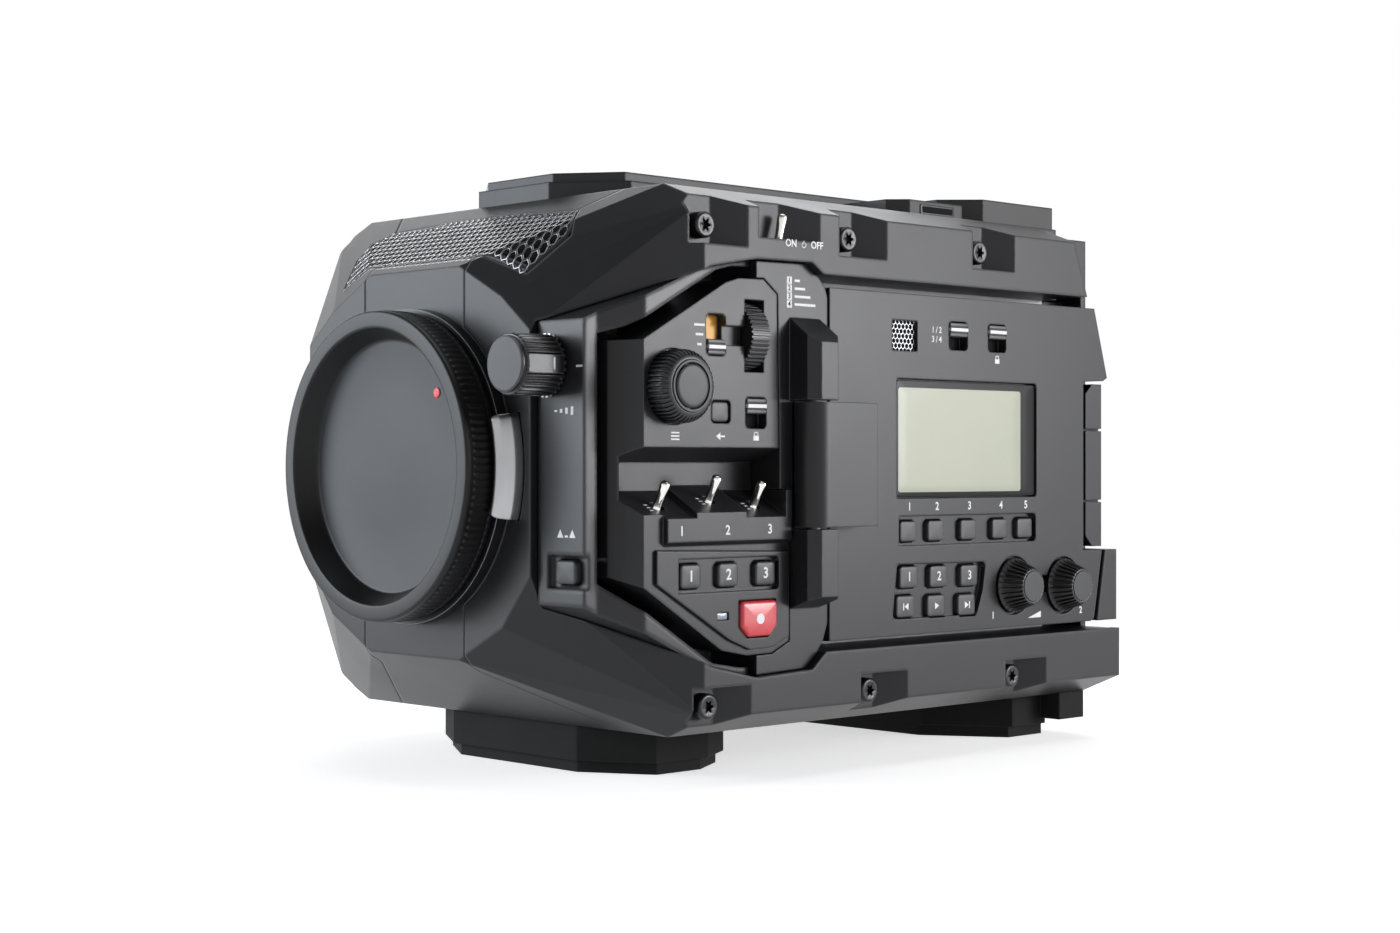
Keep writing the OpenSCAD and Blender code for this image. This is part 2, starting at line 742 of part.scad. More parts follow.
module chassis_frame() color([0.24, 0.24, 0.25]) difference() {
    union() {
        // Front bulkhead and the walls of the filter bay
        xz_block(section(front_shares, front_half - wall - land,
            front_bottom + wall + land, front_top - wall - land), bulkhead_y,
                bulkhead_y + bulkhead_thick);
        block([-bay_floor_half, bulkhead_y, bay_floor_z],
            [bay_floor_half, middle_y + over, bay_floor_z + chassis_wall]);
        both_sides() block([bay_wall_x - chassis_wall, bulkhead_y, bay_wall_z[0]],
            [bay_wall_x, middle_y + over, bay_wall_z[1]]);
        // Middle bulkhead with its spindles
        block([-chassis_half, middle_y, bay_low - ledge], [chassis_half, middle_y + middle_thick,
            bay_high + ledge]);
        bar_y(disc_y - land, middle_y + over, wheel_x, wheel_z, spindle_r);
        bar_y(gear_y - land, middle_y + over, idler_x, idler_z, spindle_r);
        // Side walls, flanges and deck plates
        both_sides() {
            block([chassis_half - chassis_wall, middle_y, bay_low - ledge],
                [chassis_half, chassis_end, bay_high + ledge]);
            block([flange_in, middle_y, bay_high + ledge], [flange_half, chassis_end, chassis_top]);
            block([flange_in, middle_y, chassis_bottom], [flange_half, chassis_end, bay_low - ledge]);
        }
        block([-flange_in, middle_y, chassis_top - deck_plate], [flange_in, chassis_end, chassis_top]);
        block([-flange_in, middle_y, chassis_bottom], [flange_in, chassis_end,
            chassis_bottom + deck_plate]);
        // Bracket behind the rosette
        bar_x(over - body_half + wall, -chassis_half + over, rosette_y, lens_z, rosette_r);
    }
    bar_y(bulkhead_y - over, bulkhead_y + bulkhead_thick + over, 0, lens_z, throat_r);
    block([-aperture_half, middle_y - over, lens_z - aperture_rise], [aperture_half,
        middle_y + middle_thick + over, lens_z + aperture_rise]);
    bar_y(middle_y - over, middle_y + middle_thick + over, knob_x, knob_z, spindle_r + running);
    bar_x(-chassis_half - over, chassis_wall + over - chassis_half, vent_y, fan_z, fan_r + fan_gap);
    bar_x(-body_half, -chassis_half + chassis_wall + over, rosette_y, lens_z, rosette_thread_r);
    both_sides() screw_bores(flange_in - over);
}

module image_sensor() color([0.2, 0.35, 0.25]) difference() {
    block([-sensor_half, middle_y + middle_thick + seam, lens_z - sensor_rise],
        [sensor_half, sensor_y + sensor_back, lens_z + sensor_rise]);
    block([sensor_rim - aperture_half, middle_y, lens_z - aperture_rise + sensor_rim],
        [aperture_half - sensor_rim, sensor_y, lens_z + aperture_rise - sensor_rim]);
}

module main_board() color([0.12, 0.3, 0.18]) {
    block([board_x, 0, chassis_bottom + deck_plate + seam],
        [board_x + board_thick, chassis_end - board_short, chassis_top - deck_plate - seam]);
    block([board_x - sink_depth, vent_y - fan_r, fan_z - fan_r], [board_x, vent_y + fan_r,
        fan_z + fan_r]);
    bar_x(board_x - sink_depth - fan_depth - fan_gap, board_x - sink_depth + over, vent_y, fan_z,
        spindle_r);
}

module cooling_fan() color([0.16, 0.16, 0.17]) difference() {
    x1 = board_x - sink_depth - land;
    union() {
        bar_x(x1 - fan_depth, x1, vent_y, fan_z, fan_hub_r);
        for (i = [0 : fan_blades - 1])
            translate([x1 - fan_depth / 2, vent_y, fan_z]) rotate([360 * i / fan_blades, 0, 0])
            translate([0, 0, (fan_hub_r + fan_r - over) / 2]) rotate([0, 0, blade_angle])
            cube([fan_blade, fan_depth, fan_r - fan_hub_r + over], center = true);
    }
    bar_x(x1 - fan_depth - over, x1 + over, vent_y, fan_z, spindle_r + running);
}

module rosette() color([0.6, 0.6, 0.62]) difference() {
    bar_x(-body_half - rosette_h, over - body_half + wall, rosette_y, lens_z, rosette_r);
    bar_x(-body_half - rosette_h - over, over - body_half, rosette_y, lens_z, rosette_inner_r);
    bar_x(-body_half - over, wall + 2 * over - body_half, rosette_y, lens_z, rosette_thread_r);
}

module screw(x, y, z) difference() {
    union() {
        bar_x(x, x + screw_head_h, y, z, screw_head_r);
        bar_x(x - screw_shank, x + over, y, z, screw_shank_r);
    }
    translate([x + screw_head_h - screw_socket, y, z]) rotate([0, 90, 0]) cylinder(r = screw_socket_r,
        h = screw_socket + over, $fn = 6);
}

module casing_screws() color([0.09, 0.09, 0.095]) both_sides() {
    for (s = upper_screw_shares) screw(body_half - pocket_depth, screw_y(s), upper_screw_z);
    for (s = lower_screw_shares) screw(body_half - pocket_depth, screw_y(s), lower_screw_z);
}

module top_plate() color([0.13, 0.13, 0.14]) difference() {
    union() {
        xy_block(mirrored([[plate_nose, plate_front], [plate_half, plate_shoulder],
            [plate_half, plate_back]]),
            body_top, body_top + plate_h - plate_step);
        xy_block(mirrored([[plate_nose - land, plate_front + plate_bevel],
            [plate_half - plate_bevel, plate_shoulder],
            [plate_half - plate_bevel, plate_back]]), body_top, body_top + plate_h);
    }
    for (y = [plate_front + 2 * plate_nose, (plate_front + plate_back) / 2, plate_back - plate_nose])
        bar_z(body_top - over, body_top + plate_h + over, 0, y, accessory_r);
}

module audio_block() color([0.13, 0.13, 0.14]) {
    xy_block(mirrored([[plate_half + seam, plate_back + seam], [plate_half + seam, audio_front],
        [audio_half - audio_corner / 2, audio_front], [audio_half, audio_front + audio_corner / 2],
        [audio_half, audio_mid]]), body_top, body_top + audio_low_h);
    xy_block(mirrored([[audio_half - audio_corner, audio_mid], [audio_half, audio_mid + audio_corner],
        [audio_half, rear_y - plate_bevel]]), body_top, body_top + audio_h);
}

module front_foot() color([0.08, 0.08, 0.085]) difference() {
    union() {
        xy_block(mirrored(front_foot_plan), sole_h, body_bottom);
        xy_block(mirrored([for (p = front_foot_plan) [p[0] - sole_in, p[1] - sign(p[1]) * sole_in]]), 0,
            sole_h + over);
    }
    bar_z(-over, tripod_depth, 0, 0, tripod_r);
}

module rear_foot() color([0.08, 0.08, 0.085]) difference() {
    union() {
        xy_block(mirrored(rear_foot_plan), sole_h, body_bottom);
        xy_block(mirrored([for (p = rear_foot_plan) [p[0] - sole_in, p[1]]]), 0, sole_h + over);
        block([-rear_block_half, rear_block_front, rear_block_z], [rear_block_half, rear_y - land,
            body_bottom]);
    }
    bar_z(-over, tripod_depth, 0, rear_thread_y, accessory_r);
}

port_outline = [[port_front, port_z[0] + groove], [port_front + groove, port_z[0]],
    [port_back, port_z[0]],
    [port_back, port_z[1] - seam], [port_front + groove, port_z[1] - seam], [port_front,
        port_z[1] - groove]];

module rear_panel() color([0.13, 0.13, 0.14]) difference() {
    union() {
        intersection() {
            xz_block(section(body_shares, body_half - wall - seam, chassis_bottom, chassis_top),
                rear_y - rear_plate, rear_y);
            union() {
                block([-body_half, 0, 0], [rear_half, rear_y + over, body_top]);
                block([0, 0, 0], [body_half, rear_y + over, bay_low - seam]);
            }
        }
        block([-rear_plug_half, chassis_end + seam, bay_low], [rear_plug_half, rear_y - land, bay_high]);
        block([seam_back_half + seam, chassis_end + 2 * seam, bay_high + ledge], [rear_half, rear_y,
            body_top - wall]);
        block([flange_half + seam, chassis_end - ledge, bay_high + ledge + seam],
            [rear_half, rear_y, body_top - wall - seam]);
        yz_block([[corner_front_top, corner_top], [corner_back, corner_top], [corner_back, corner_z],
            [corner_front_low, corner_z]], chassis_half, door_face);
        block([rear_plug_half - over, port_front + groove, port_z[0]], [chassis_half + over,
            rear_y - land, port_z[1] - seam]);
        yz_block(port_outline, bay_floor, port_face - port_thick - seam);
        block([chassis_half, port_back - over, port_z[0]], [port_face - port_thick - seam, rear_y - land,
            port_z[1] - seam]);
        block([-battery_half, rear_y - over, battery_z[0]], [battery_half, rear_y + battery_h,
            battery_z[1]]);
    }
    for (x = [-battery_hole_x, battery_hole_x]) for (z = battery_hole_z)
        bar_y(rear_y + battery_h - battery_hole_depth, rear_y + battery_h + over, x, z, battery_thread_r);
}

// Room over the chassis flange
module flange_space()
    block([0, middle_y - seam, 0], [flange_half + seam, body_front, bay_low - ledge + seam]);

module control_frame() color([0.12, 0.12, 0.13]) difference() {
    intersection() {
        yz_block(bay_points(seam), frame_inner, frame_face);
        xy_block([[frame_inner, strip_y], [strip_x, strip_y], [strip_x, panel_front - groove],
            [frame_face, panel_front + 2 * groove], [frame_face, frame_end], [bay_floor, frame_end],
            [bay_floor, middle_y - seam], [frame_inner, middle_y - seam]], 0, body_top);
    }
    yz_block(panel_grown(groove), 0, body_half);
    bar_y(strip_y - over, strip_y + strip_wall + 2 * over, knob_x, knob_z, spindle_r + running);
    block([balance_x - balance_recess[0] / 2, strip_y - over, balance_z - balance_recess[1] / 2],
        [balance_x + balance_recess[0] / 2, strip_y + balance_sink, balance_z + balance_recess[1] / 2]);
    xz_block(key_points([balance_x, balance_z], balance_w + 2 * fit, balance_h + 2 * fit, key_cut),
        strip_y - over, strip_y + strip_wall + 2 * over);
    flange_space();
}

module white_balance_button() color([0.2, 0.2, 0.21])
    xz_block(key_points([balance_x, balance_z], balance_w, balance_h, key_cut), strip_y - seam,
        strip_y + strip_wall);

// Slope of the shelf under the toggles, and its section in X and Z
shelf_tilt = atan2(shelf_floor_high - shelf_floor_low, shelf_depth);
function shelf_z(x) = shelf_floor_low + (panel_face - x) * tan(shelf_tilt);
lip_x = panel_face + lip_proud;
shelf_out = lip_x + over;
shelf_in = panel_face - shelf_depth;
shelf_step = 1.3;
ramp_shares = [0.4, 0.74];
panel_foot_shares = [[0.7, 0.12], [0.7, 0.45], [0.7, 0.62]];

module shelf_space()
    xz_block([[shelf_in, shelf_floor_high], [shelf_out, shelf_z(shelf_out)], [shelf_out, shelf_roof_high],
        [panel_face, shelf_roof_high], [shelf_in, shelf_roof_low]], shelf_front,
            panel_front + panel_length + over);

module shelf_ramp()
    xz_block([[shelf_in - over, shelf_z(shelf_in) + shelf_step - over], [lip_x, shelf_z(lip_x) - over],
        [lip_x, shelf_z(lip_x) + shelf_step], [shelf_in - over,
            shelf_z(shelf_in) + shelf_step + over / 2]],
        panel_point([ramp_shares[0], 0])[0], panel_point([ramp_shares[1], 0])[0]);

toggle_sink = 1.4;
module toggle_socket(x, y, z, tilt) translate([x, y, z]) rotate([0, tilt, 0])
    translate([0, 0, -toggle_sink - toggle_ball_r - fit])
    cylinder(r = toggle_ball_r + fit, h = toggle_sink + toggle_ball_r + fit + 2 * over);

module toggle(x, y, z, tilt, lean) color([0.82, 0.8, 0.76]) translate([x, y, z]) rotate([0, tilt, 0])
    translate([0, 0, -toggle_sink]) rotate([-lean, 0, 0]) rotate_extrude($fn = 24) polygon(concat(
        [for (a = [-90 : 15 : 45]) [toggle_ball_r * cos(a), toggle_ball_r * sin(a)]],
        [[toggle_r, toggle_ball_r], [toggle_r, toggle_length],
        [toggle_r * toggle_tip_share, toggle_length + toggle_r], [toggle_r, toggle_length + 2 * toggle_r],
        [0, toggle_length + 2 * toggle_r]]));

// A key in a face that looks along +X, and its hole
module key_x(c, w, h, face, length) yz_block(key_points(c, w, h, key_cut), face - length, face);

module key_hole(c, w, h, face, length)
    yz_block(key_points(c, w + 2 * fit, h + 2 * fit, key_cut), face - length - key_travel - fit,
        body_half + 2 * over);

slide_sink = 2.8;
level_slot_w = 6.3;
level_slot_h = 9.8;
module slide_slot(c, w, h, face) yz_block(key_points(c, w, h, key_cut), face - slide_sink, face + over);

module slide_key(c, w, face) color([0.3, 0.3, 0.31])
    yz_block(key_points(c, w - 2 * fit, slide_h, key_cut), face - slide_sink + running, face + 2 * seam);

menu = panel_point(menu_share);
back_key = panel_point(back_share);
lock = panel_point(lock_share);
level = panel_point(level_share);
thumb = panel_point(level_wheel_share);
thumb_x = panel_face + wheel_proud - wheel_r;
back_key_w = 5.7;
back_key_h = 4.8;
shaft_r = 2.4;
button_stem_r = 1.2;

module control_panel() color([0.15, 0.15, 0.16]) difference() {
    union() {
        difference() {
            union() {
                intersection() {
                    yz_block(panel_grown(0), panel_back, panel_face);
                    xy_block([[panel_back, panel_front], [strip_x, panel_front],
                        [panel_face, panel_front + panel_cheek_y], [panel_face, hinge_y], [panel_back,
                            hinge_y]], 0, body_top);
                }
                xz_block([[panel_back, lip_low - land], [panel_face, lip_low - land], [lip_x, lip_low],
                    [lip_x, shelf_floor_high], [panel_back, shelf_floor_high]], lip_front, lip_back);
            }
            shelf_space();
        }
        intersection() {
            shelf_ramp();
            block([shelf_in - over, panel_front, lip_low], [lip_x, hinge_y, body_top]);
        }
        // Feet that stand on the chassis wall
        for (s = panel_foot_shares) let (c = panel_point(s))
            block([bay_floor, c[0] - groove, c[1] - groove], [panel_back + over, c[0] + groove,
                c[1] + groove]);
    }
    yz_block([for (p = record_shares)
        panel_point(p) + [p[0] > 0.5 ? running : -running, p[1] > 0.1 ? running : -running]],
        panel_face - record_thick, panel_face + 2 * over);
    for (s = toggle_shares) let (y = panel_point([s, 0])[0])
        toggle_socket(toggle_x, y, shelf_z(toggle_x) + (s == toggle_shares[1] ? shelf_step : 0),
            shelf_tilt);
    bar_x(panel_back - over, panel_face + over, menu[0], menu[1], shaft_r + running);
    bar_x(panel_face - dial_recess, panel_face + over, menu[0], menu[1], dial_r + fit);
    key_hole(back_key, back_key_w, back_key_h, panel_face - seam, key_length);
    slide_slot(lock, slot_w - 2 * seam, slot_h, panel_face);
    slide_slot(level, level_slot_w, level_slot_h, panel_face);
    block([thumb_x - wheel_r - over, thumb[0] - wheel_w / 2 - fit, thumb[1] - wheel_r - fit],
        [panel_face + over, thumb[0] + wheel_w / 2 + fit, thumb[1] + wheel_r + fit]);
    bar_y(thumb[0] - wheel_w / 2 - wheel_axle_reach - running,
        thumb[0] + wheel_w / 2 + wheel_axle_reach + running,
        thumb_x, thumb[1], wheel_axle_r + running);
    block([panel_face - dial_recess, level[0], level[1] - link_h / 2], [panel_face + over, thumb[0],
        level[1] + link_h / 2]);
}

module menu_dial() color([0.1, 0.1, 0.105]) difference() {
    union() {
        yz_block(ribbed(dial_r, dial_ribs, menu[0], menu[1]), panel_face - dial_recess + dial_skirt,
            panel_face + dial_grip_h - dial_recess);
        bar_x(panel_face + dial_grip_h - dial_recess - over, panel_face + dial_face, menu[0], menu[1],
            dial_r - land);
        bar_x(panel_back, panel_face, menu[0], menu[1], shaft_r);
    }
    bar_x(panel_face, panel_face + dial_face + over, menu[0], menu[1], button_stem_r + running);
    bar_x(panel_face + dial_face - land - key_travel, panel_face + dial_face + over, menu[0], menu[1],
        menu_button_r + fit / 2);
}

module menu_button() color([0.2, 0.2, 0.21]) {
    bar_x(panel_face + dial_face - land + fit / 2, panel_face + dial_face + fit, menu[0], menu[1],
        menu_button_r);
    bar_x(panel_face + key_travel + fit, panel_face + dial_face - land + fit, menu[0], menu[1],
        button_stem_r);
}

module back_button() color([0.25, 0.25, 0.26]) key_x(back_key, back_key_w, back_key_h, panel_face - seam,
    key_length);

module lock_switch() slide_key(lock + [0, slot_h / 2 - slide_h / 2 - fit], slot_w - 2 * seam, panel_face);

module level_switch() slide_key(level - [0, level_slot_h / 2 - slide_h / 2 - fit], level_slot_w,
    panel_face);

module level_wheel() color([0.13, 0.13, 0.135]) {
    translate([0, thumb[0] + wheel_w / 2, 0]) rotate([90, 0, 0])
        linear_extrude(wheel_w) polygon(ribbed(wheel_r, wheel_ribs, thumb_x, thumb[1]));
    bar_y(thumb[0] - wheel_w / 2 - wheel_axle_reach, thumb[0] + wheel_w / 2 + wheel_axle_reach, thumb_x,
        thumb[1], wheel_axle_r);
}

module gain_toggle() toggle(toggle_x, panel_point([toggle_shares[0], 0])[0], shelf_z(toggle_x),
    shelf_tilt, 0);

module shutter_toggle() toggle(toggle_x, panel_point([toggle_shares[1], 0])[0],
    shelf_z(toggle_x) + shelf_step, shelf_tilt, 0);

module white_balance_toggle() toggle(toggle_x, panel_point([toggle_shares[2], 0])[0], shelf_z(toggle_x),
    shelf_tilt, 0);

record_face = panel_face + record_proud;
function_keys = [for (s = function_shares) panel_point([s, function_share])];
record_c = panel_point(record_key_share);
led_c = panel_point(led_share);
function_w = 6.5;
function_h = 5.6;

function record_points(g) = [[record_c[0] - record_key[0] / 2 + record_chamfer,
    record_c[1] - record_key[1] / 2 - g],
    [record_c[0] + record_key[0] / 2 - record_chamfer, record_c[1] - record_key[1] / 2 - g],
    [record_c[0] + record_key[0] / 2 + g, record_c[1] - record_key[1] / 2 + record_chamfer],
    [record_c[0] + record_key[0] / 2 + g, record_c[1] + record_key[1] / 2 + g],
    [record_c[0] - record_key[0] / 2 - g, record_c[1] + record_key[1] / 2 + g],
    [record_c[0] - record_key[0] / 2 - g, record_c[1] - record_key[1] / 2 + record_chamfer]];

module record_panel() color([0.16, 0.16, 0.17]) difference() {
    yz_block([for (p = record_shares) panel_point(p)], panel_face - record_thick, record_face);
    yz_block(rectangle(panel_point(function_area_shares[0]), panel_point(function_area_shares[1])),
        record_face - recess_depth, record_face + over);
    for (c = function_keys) key_hole(c, function_w, function_h, record_face - seam, key_length);
    yz_block(record_points(fit), record_face - key_length - key_travel, record_face + over);
    yz_block(rectangle(led_c - led_size / 2, led_c + led_size / 2), record_face - land,
        record_face + over);
}

module function_key(i) color([0.2, 0.2, 0.21])
    key_x(function_keys[i], function_w, function_h, record_face - seam, key_length);

module function_button_1() function_key(0);

module function_button_2() function_key(1);

module frame_rate_button() function_key(2);

module record_button() color([0.85, 0.12, 0.14])
    yz_block(record_points(0), record_face - key_length + running, record_face + record_proud);

// Knuckle of the hinge: plan section and a sloped outer end
module knuckle(low, high, slope_low, slope_high) intersection() {
    xy_block([[cover_face - over, hinge_y - knuckle_front],
        [hinge_x + arm_out - knuckle_chamfer, hinge_y - knuckle_front],
        [hinge_x + arm_out, hinge_y - knuckle_front + knuckle_chamfer], [hinge_x + arm_out,
            hinge_y + knuckle_back - knuckle_chamfer],
        [hinge_x + arm_out - knuckle_chamfer, hinge_y + knuckle_back], [cover_face - over,
            hinge_y + knuckle_back]], low, high);
    xz_block([[cover_face - over, low], [cover_face, low], [hinge_x + arm_out, low + slope_low],
        [hinge_x + arm_out, high - slope_high], [cover_face, high], [cover_face - over, high]],
            door_front - body_front, body_front);
}

module hinge_cover() color([0.13, 0.13, 0.14]) difference() {
    union() {
        intersection() {
            yz_block([for (p = cover_shares) side_point(p)], bay_floor, cover_face);
            yz_block(bay_points(seam), bay_floor, cover_face);
        }
        knuckle(upper_knuckle[0], upper_knuckle[1], 0, knuckle_proud);
        knuckle(lower_knuckle[0], lower_knuckle[1], knuckle_proud / 2, 0);
    }
    yz_block(panel_grown(seam), 0, body_half);
    block([0, lip_front, lip_low - land - seam], [body_half, lip_back + seam, shelf_floor_high + seam]);
    flange_space();
    bar_z(lower_knuckle[1], upper_knuckle[0], hinge_x, hinge_y, barrel_r + fit);
    bar_z(lower_knuckle[0] + knuckle_proud, upper_knuckle[1] - knuckle_proud - land, hinge_x, hinge_y,
        pin_r + running);
}

module hinge_pin() color([0.75, 0.75, 0.77])
    bar_z(lower_knuckle[0] + knuckle_proud + running, upper_knuckle[1] - knuckle_proud - land - running,
        hinge_x, hinge_y, pin_r);

display_area = [door_point(display_shares[0]), door_point(display_shares[1])];
display_keys = [for (s = display_key_shares) door_point([s, display_key_share])];
transport_keys = [for (p = transport_shares) door_point(p)];
volume_keys = [for (p = volume_shares) door_point(p)];
channel = door_point(channel_share);
door_lock = door_point(door_lock_share);
transport_w = 6.9;
transport_h = 5.5;
key_face = door_face - seam;
volume_h = 7.6;
volume_top_shares = [0.62, 0.55];
volume_shaft_r = 1.5;
volume_shaft = 8;
arm_x0 = door_face + 2 * seam - running;

module door_shell() color([0.14, 0.14, 0.15]) difference() {
    union() {
        yz_block([for (p = door_shares) door_point(p)], door_back_x, door_face);
        bar_z(arm_z[0], arm_z[1], hinge_x, hinge_y, barrel_r);
        xy_block([[arm_x0, hinge_y], [hinge_x + arm_out, hinge_y],
            [hinge_x + arm_out, hinge_y + arm_reach - knuckle_chamfer],
            [hinge_x + arm_out - knuckle_chamfer, hinge_y + arm_reach], [door_face - over,
                hinge_y + arm_reach],
            [door_face - over, door_front + fit], [arm_x0, door_front + fit]], arm_z[0], arm_z[1]);
    }
    bar_z(arm_z[0] - over, arm_z[1] + over, hinge_x, hinge_y, pin_r + running);
    yz_block(rectangle(display_area[0], display_area[1]), door_face - display_sink, door_face + over);
    yz_block(rectangle(door_point(key_row_shares[0]), door_point(key_row_shares[1])),
        door_face - recess_depth, door_face + over);
    for (c = display_keys) key_hole(c, key_w, key_h, key_face, key_length);
    yz_block([for (p = transport_area_shares) door_point(p)], door_face - recess_depth, door_face + over);
    for (c = transport_keys) key_hole(c, transport_w, transport_h, key_face, key_length);
    yz_block(rectangle(door_point(mesh_shares[0]), door_point(mesh_shares[1])), door_face - recess_depth,
        door_face + over);
    slide_slot(channel, slot_w, slot_h, door_face);
    slide_slot(door_lock, slot_w, slot_h, door_face);
    for (c = volume_keys) {
        bar_x(door_face - recess_depth, door_face + over, c[0], c[1], volume_r + 2 * fit);
        bar_x(door_face - volume_shaft, door_face, c[0], c[1], volume_shaft_r + running);
    }
    block([door_face - recess_depth, volume_keys[0][0], volume_keys[0][1] - link_h / 2],
        [door_face + over, volume_keys[1][0], volume_keys[0][1] + link_h / 2]);
    yz_block(rectangle(door_point(touch_shares[0]) - [fit, fit], door_point(touch_shares[1]) + [fit,
        fit]),
        door_back_x - over, door_back_x + touch_thick);
}

module status_display() color([0.5, 0.55, 0.5])
    yz_block(rectangle(display_area[0] + [fit, fit], display_area[1] - [fit, fit]),
        door_face - display_sink, door_face - 2 * seam);

module touch_display() color([0.05, 0.05, 0.06])
    yz_block(rectangle(door_point(touch_shares[0]), door_point(touch_shares[1])), door_back_x + running,
        door_back_x + touch_thick);

module door_key(i) color([0.2, 0.2, 0.21]) key_x(display_keys[i], key_w, key_h, key_face, key_length);

module transport_key(i) color([0.2, 0.2, 0.21]) key_x(transport_keys[i], transport_w, transport_h,
    key_face, key_length);

module channel_switch() slide_key(channel + [0, slot_h / 2 - slide_h / 2 - fit], slot_w, door_face);

module door_lock_switch() slide_key(door_lock + [0, slot_h / 2 - slide_h / 2 - fit], slot_w, door_face);

module volume_knob(i) color([0.12, 0.12, 0.125]) {
    c = volume_keys[i];
    translate([door_face - recess_depth + fit, c[0], c[1]]) rotate([0, 90, 0]) rotate_extrude()
        polygon([[0, 0],
        [volume_r, 0], [volume_r, recess_depth], [volume_r * volume_top_shares[0], volume_h],
        [volume_r * volume_top_shares[1], volume_h + fit], [0, volume_h + fit]]);
    bar_x(door_face - volume_shaft + running, door_face, c[0], c[1], volume_shaft_r);
}

module display_button_1() door_key(0);

module display_button_2() door_key(1);

module display_button_3() door_key(2);

module display_button_4() door_key(3);

module display_button_5() door_key(4);

module transport_button_1() transport_key(0);

module transport_button_2() transport_key(1);

module transport_button_3() transport_key(2);

module transport_button_4() transport_key(3);

module transport_button_5() transport_key(4);

module transport_button_6() transport_key(5);

module volume_knob_1() volume_knob(0);

module volume_knob_2() volume_knob(1);

module power_toggle() toggle(power_x, power_y, power_ledge, 0, power_lean);

module port_cover() color([0.1, 0.1, 0.105]) difference() {
    yz_block(port_outline, port_face - port_thick, port_face);
    for (z = port_splits) block([port_face - land, port_front - over, z - port_gap / 2],
        [port_face + over, port_back + over, z + port_gap / 2]);
}

chassis_frame();
centre_shell();
left_shell();
right_shell();
rear_panel();
mic_grille();
top_plate();
audio_block();
front_foot();
rear_foot();
lens_mount();
control_frame();
control_panel();
record_panel();
hinge_cover();
hinge_pin();
rosette();
casing_screws();
image_sensor();
main_board();
door_shell();
status_display();
touch_display();
body_cap();
lens_release();
nd_knob();
nd_idler_gear();
nd_filter_wheel();
white_balance_button();
menu_dial();
menu_button();
back_button();
lock_switch();
level_switch();
level_wheel();
gain_toggle();
shutter_toggle();
white_balance_toggle();
function_button_1();
function_button_2();
frame_rate_button();
record_button();
power_toggle();
channel_switch();
door_lock_switch();
volume_knob_1();
volume_knob_2();
display_button_1();
display_button_2();
display_button_3();
display_button_4();
display_button_5();
transport_button_1();
transport_button_2();
transport_button_3();
transport_button_4();
transport_button_5();
transport_button_6();
cooling_fan();
port_cover();
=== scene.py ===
"""Studio scene of a digital cinema camera with a hinged side door and a capped lens mount.

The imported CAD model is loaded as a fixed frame. Each sub-assembly is a class that holds its sizes
in millimetres, builds the meshes that the CAD solids leave plain, and gives every surface its
finish.
"""
import logging
import math
from dataclasses import dataclass
from enum import Enum
from typing import Callable, Iterable, Mapping, Optional, Sequence, Union

import bpy
import numpy as np
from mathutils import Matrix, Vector


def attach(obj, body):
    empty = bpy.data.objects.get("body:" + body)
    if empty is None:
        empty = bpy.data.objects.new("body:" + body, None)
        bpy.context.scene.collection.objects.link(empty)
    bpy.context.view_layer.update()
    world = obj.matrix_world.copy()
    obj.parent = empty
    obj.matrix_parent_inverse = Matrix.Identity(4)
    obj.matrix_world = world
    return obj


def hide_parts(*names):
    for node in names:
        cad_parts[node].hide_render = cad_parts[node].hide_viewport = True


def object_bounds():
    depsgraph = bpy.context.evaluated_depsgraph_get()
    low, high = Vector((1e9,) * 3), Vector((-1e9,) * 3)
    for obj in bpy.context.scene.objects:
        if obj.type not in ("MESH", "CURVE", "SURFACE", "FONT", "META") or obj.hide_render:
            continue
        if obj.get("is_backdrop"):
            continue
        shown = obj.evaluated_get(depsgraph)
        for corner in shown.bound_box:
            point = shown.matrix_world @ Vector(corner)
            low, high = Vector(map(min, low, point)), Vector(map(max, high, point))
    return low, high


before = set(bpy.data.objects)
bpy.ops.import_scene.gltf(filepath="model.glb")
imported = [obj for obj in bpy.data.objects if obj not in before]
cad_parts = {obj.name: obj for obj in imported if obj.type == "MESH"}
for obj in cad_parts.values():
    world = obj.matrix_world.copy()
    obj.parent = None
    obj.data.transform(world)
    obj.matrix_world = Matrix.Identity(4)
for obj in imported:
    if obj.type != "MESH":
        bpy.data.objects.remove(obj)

LOG = logging.getLogger("cinema_camera")
MM = 0.001
Array = np.ndarray
Socket = bpy.types.NodeSocket
Colour = tuple[float, float, float]
Point = tuple[float, float, float]
Pair = tuple[float, float]
# The ends of a width and of a height; for a printed bar its middle, its width and its height.
Box = tuple[float, float, float, float]
# Width, height, corner radius, depth, fillet and crown of a soft box, or some of these in a row.
Form = tuple[float, ...]
# Corners of a recess, and the radius of its arcs.
Recess = tuple[Sequence[Pair], float]
# A print's words, the height of its capitals, and its place along its seat's width and height.
Words = tuple[str, float, float, float]

WHITE = (1.0, 1.0, 1.0)
# How far key tops, their signs, slots' floors and recesses lie below a face.
KEY_SINK = 0.3
SIGN_SINK = 0.22
SLOT_DEPTH = 2.765
RECESS_DEPTH = 1.6
# Corner fills: top below the face, reach past the corner, and half the angle that needs none.
FILL_SINK = 0.02
FILL_OVERLAP = 0.06
NEARLY_STRAIGHT = math.radians(75)
FOOT_BEVEL = 0.12
# Print: levels of signs, and for text its middle level, half its thickness, its boldness as a share
# of its size, and the share of the font's size that its capitals take.
SIGN_LEVELS = (-0.01, 0.03)
TEXT_RISE = 0.02
TEXT_HALF = 0.01
TEXT_BOLD = 0.03
CAPITAL_SHARE = 0.7


# Shader building ----------------------------------------


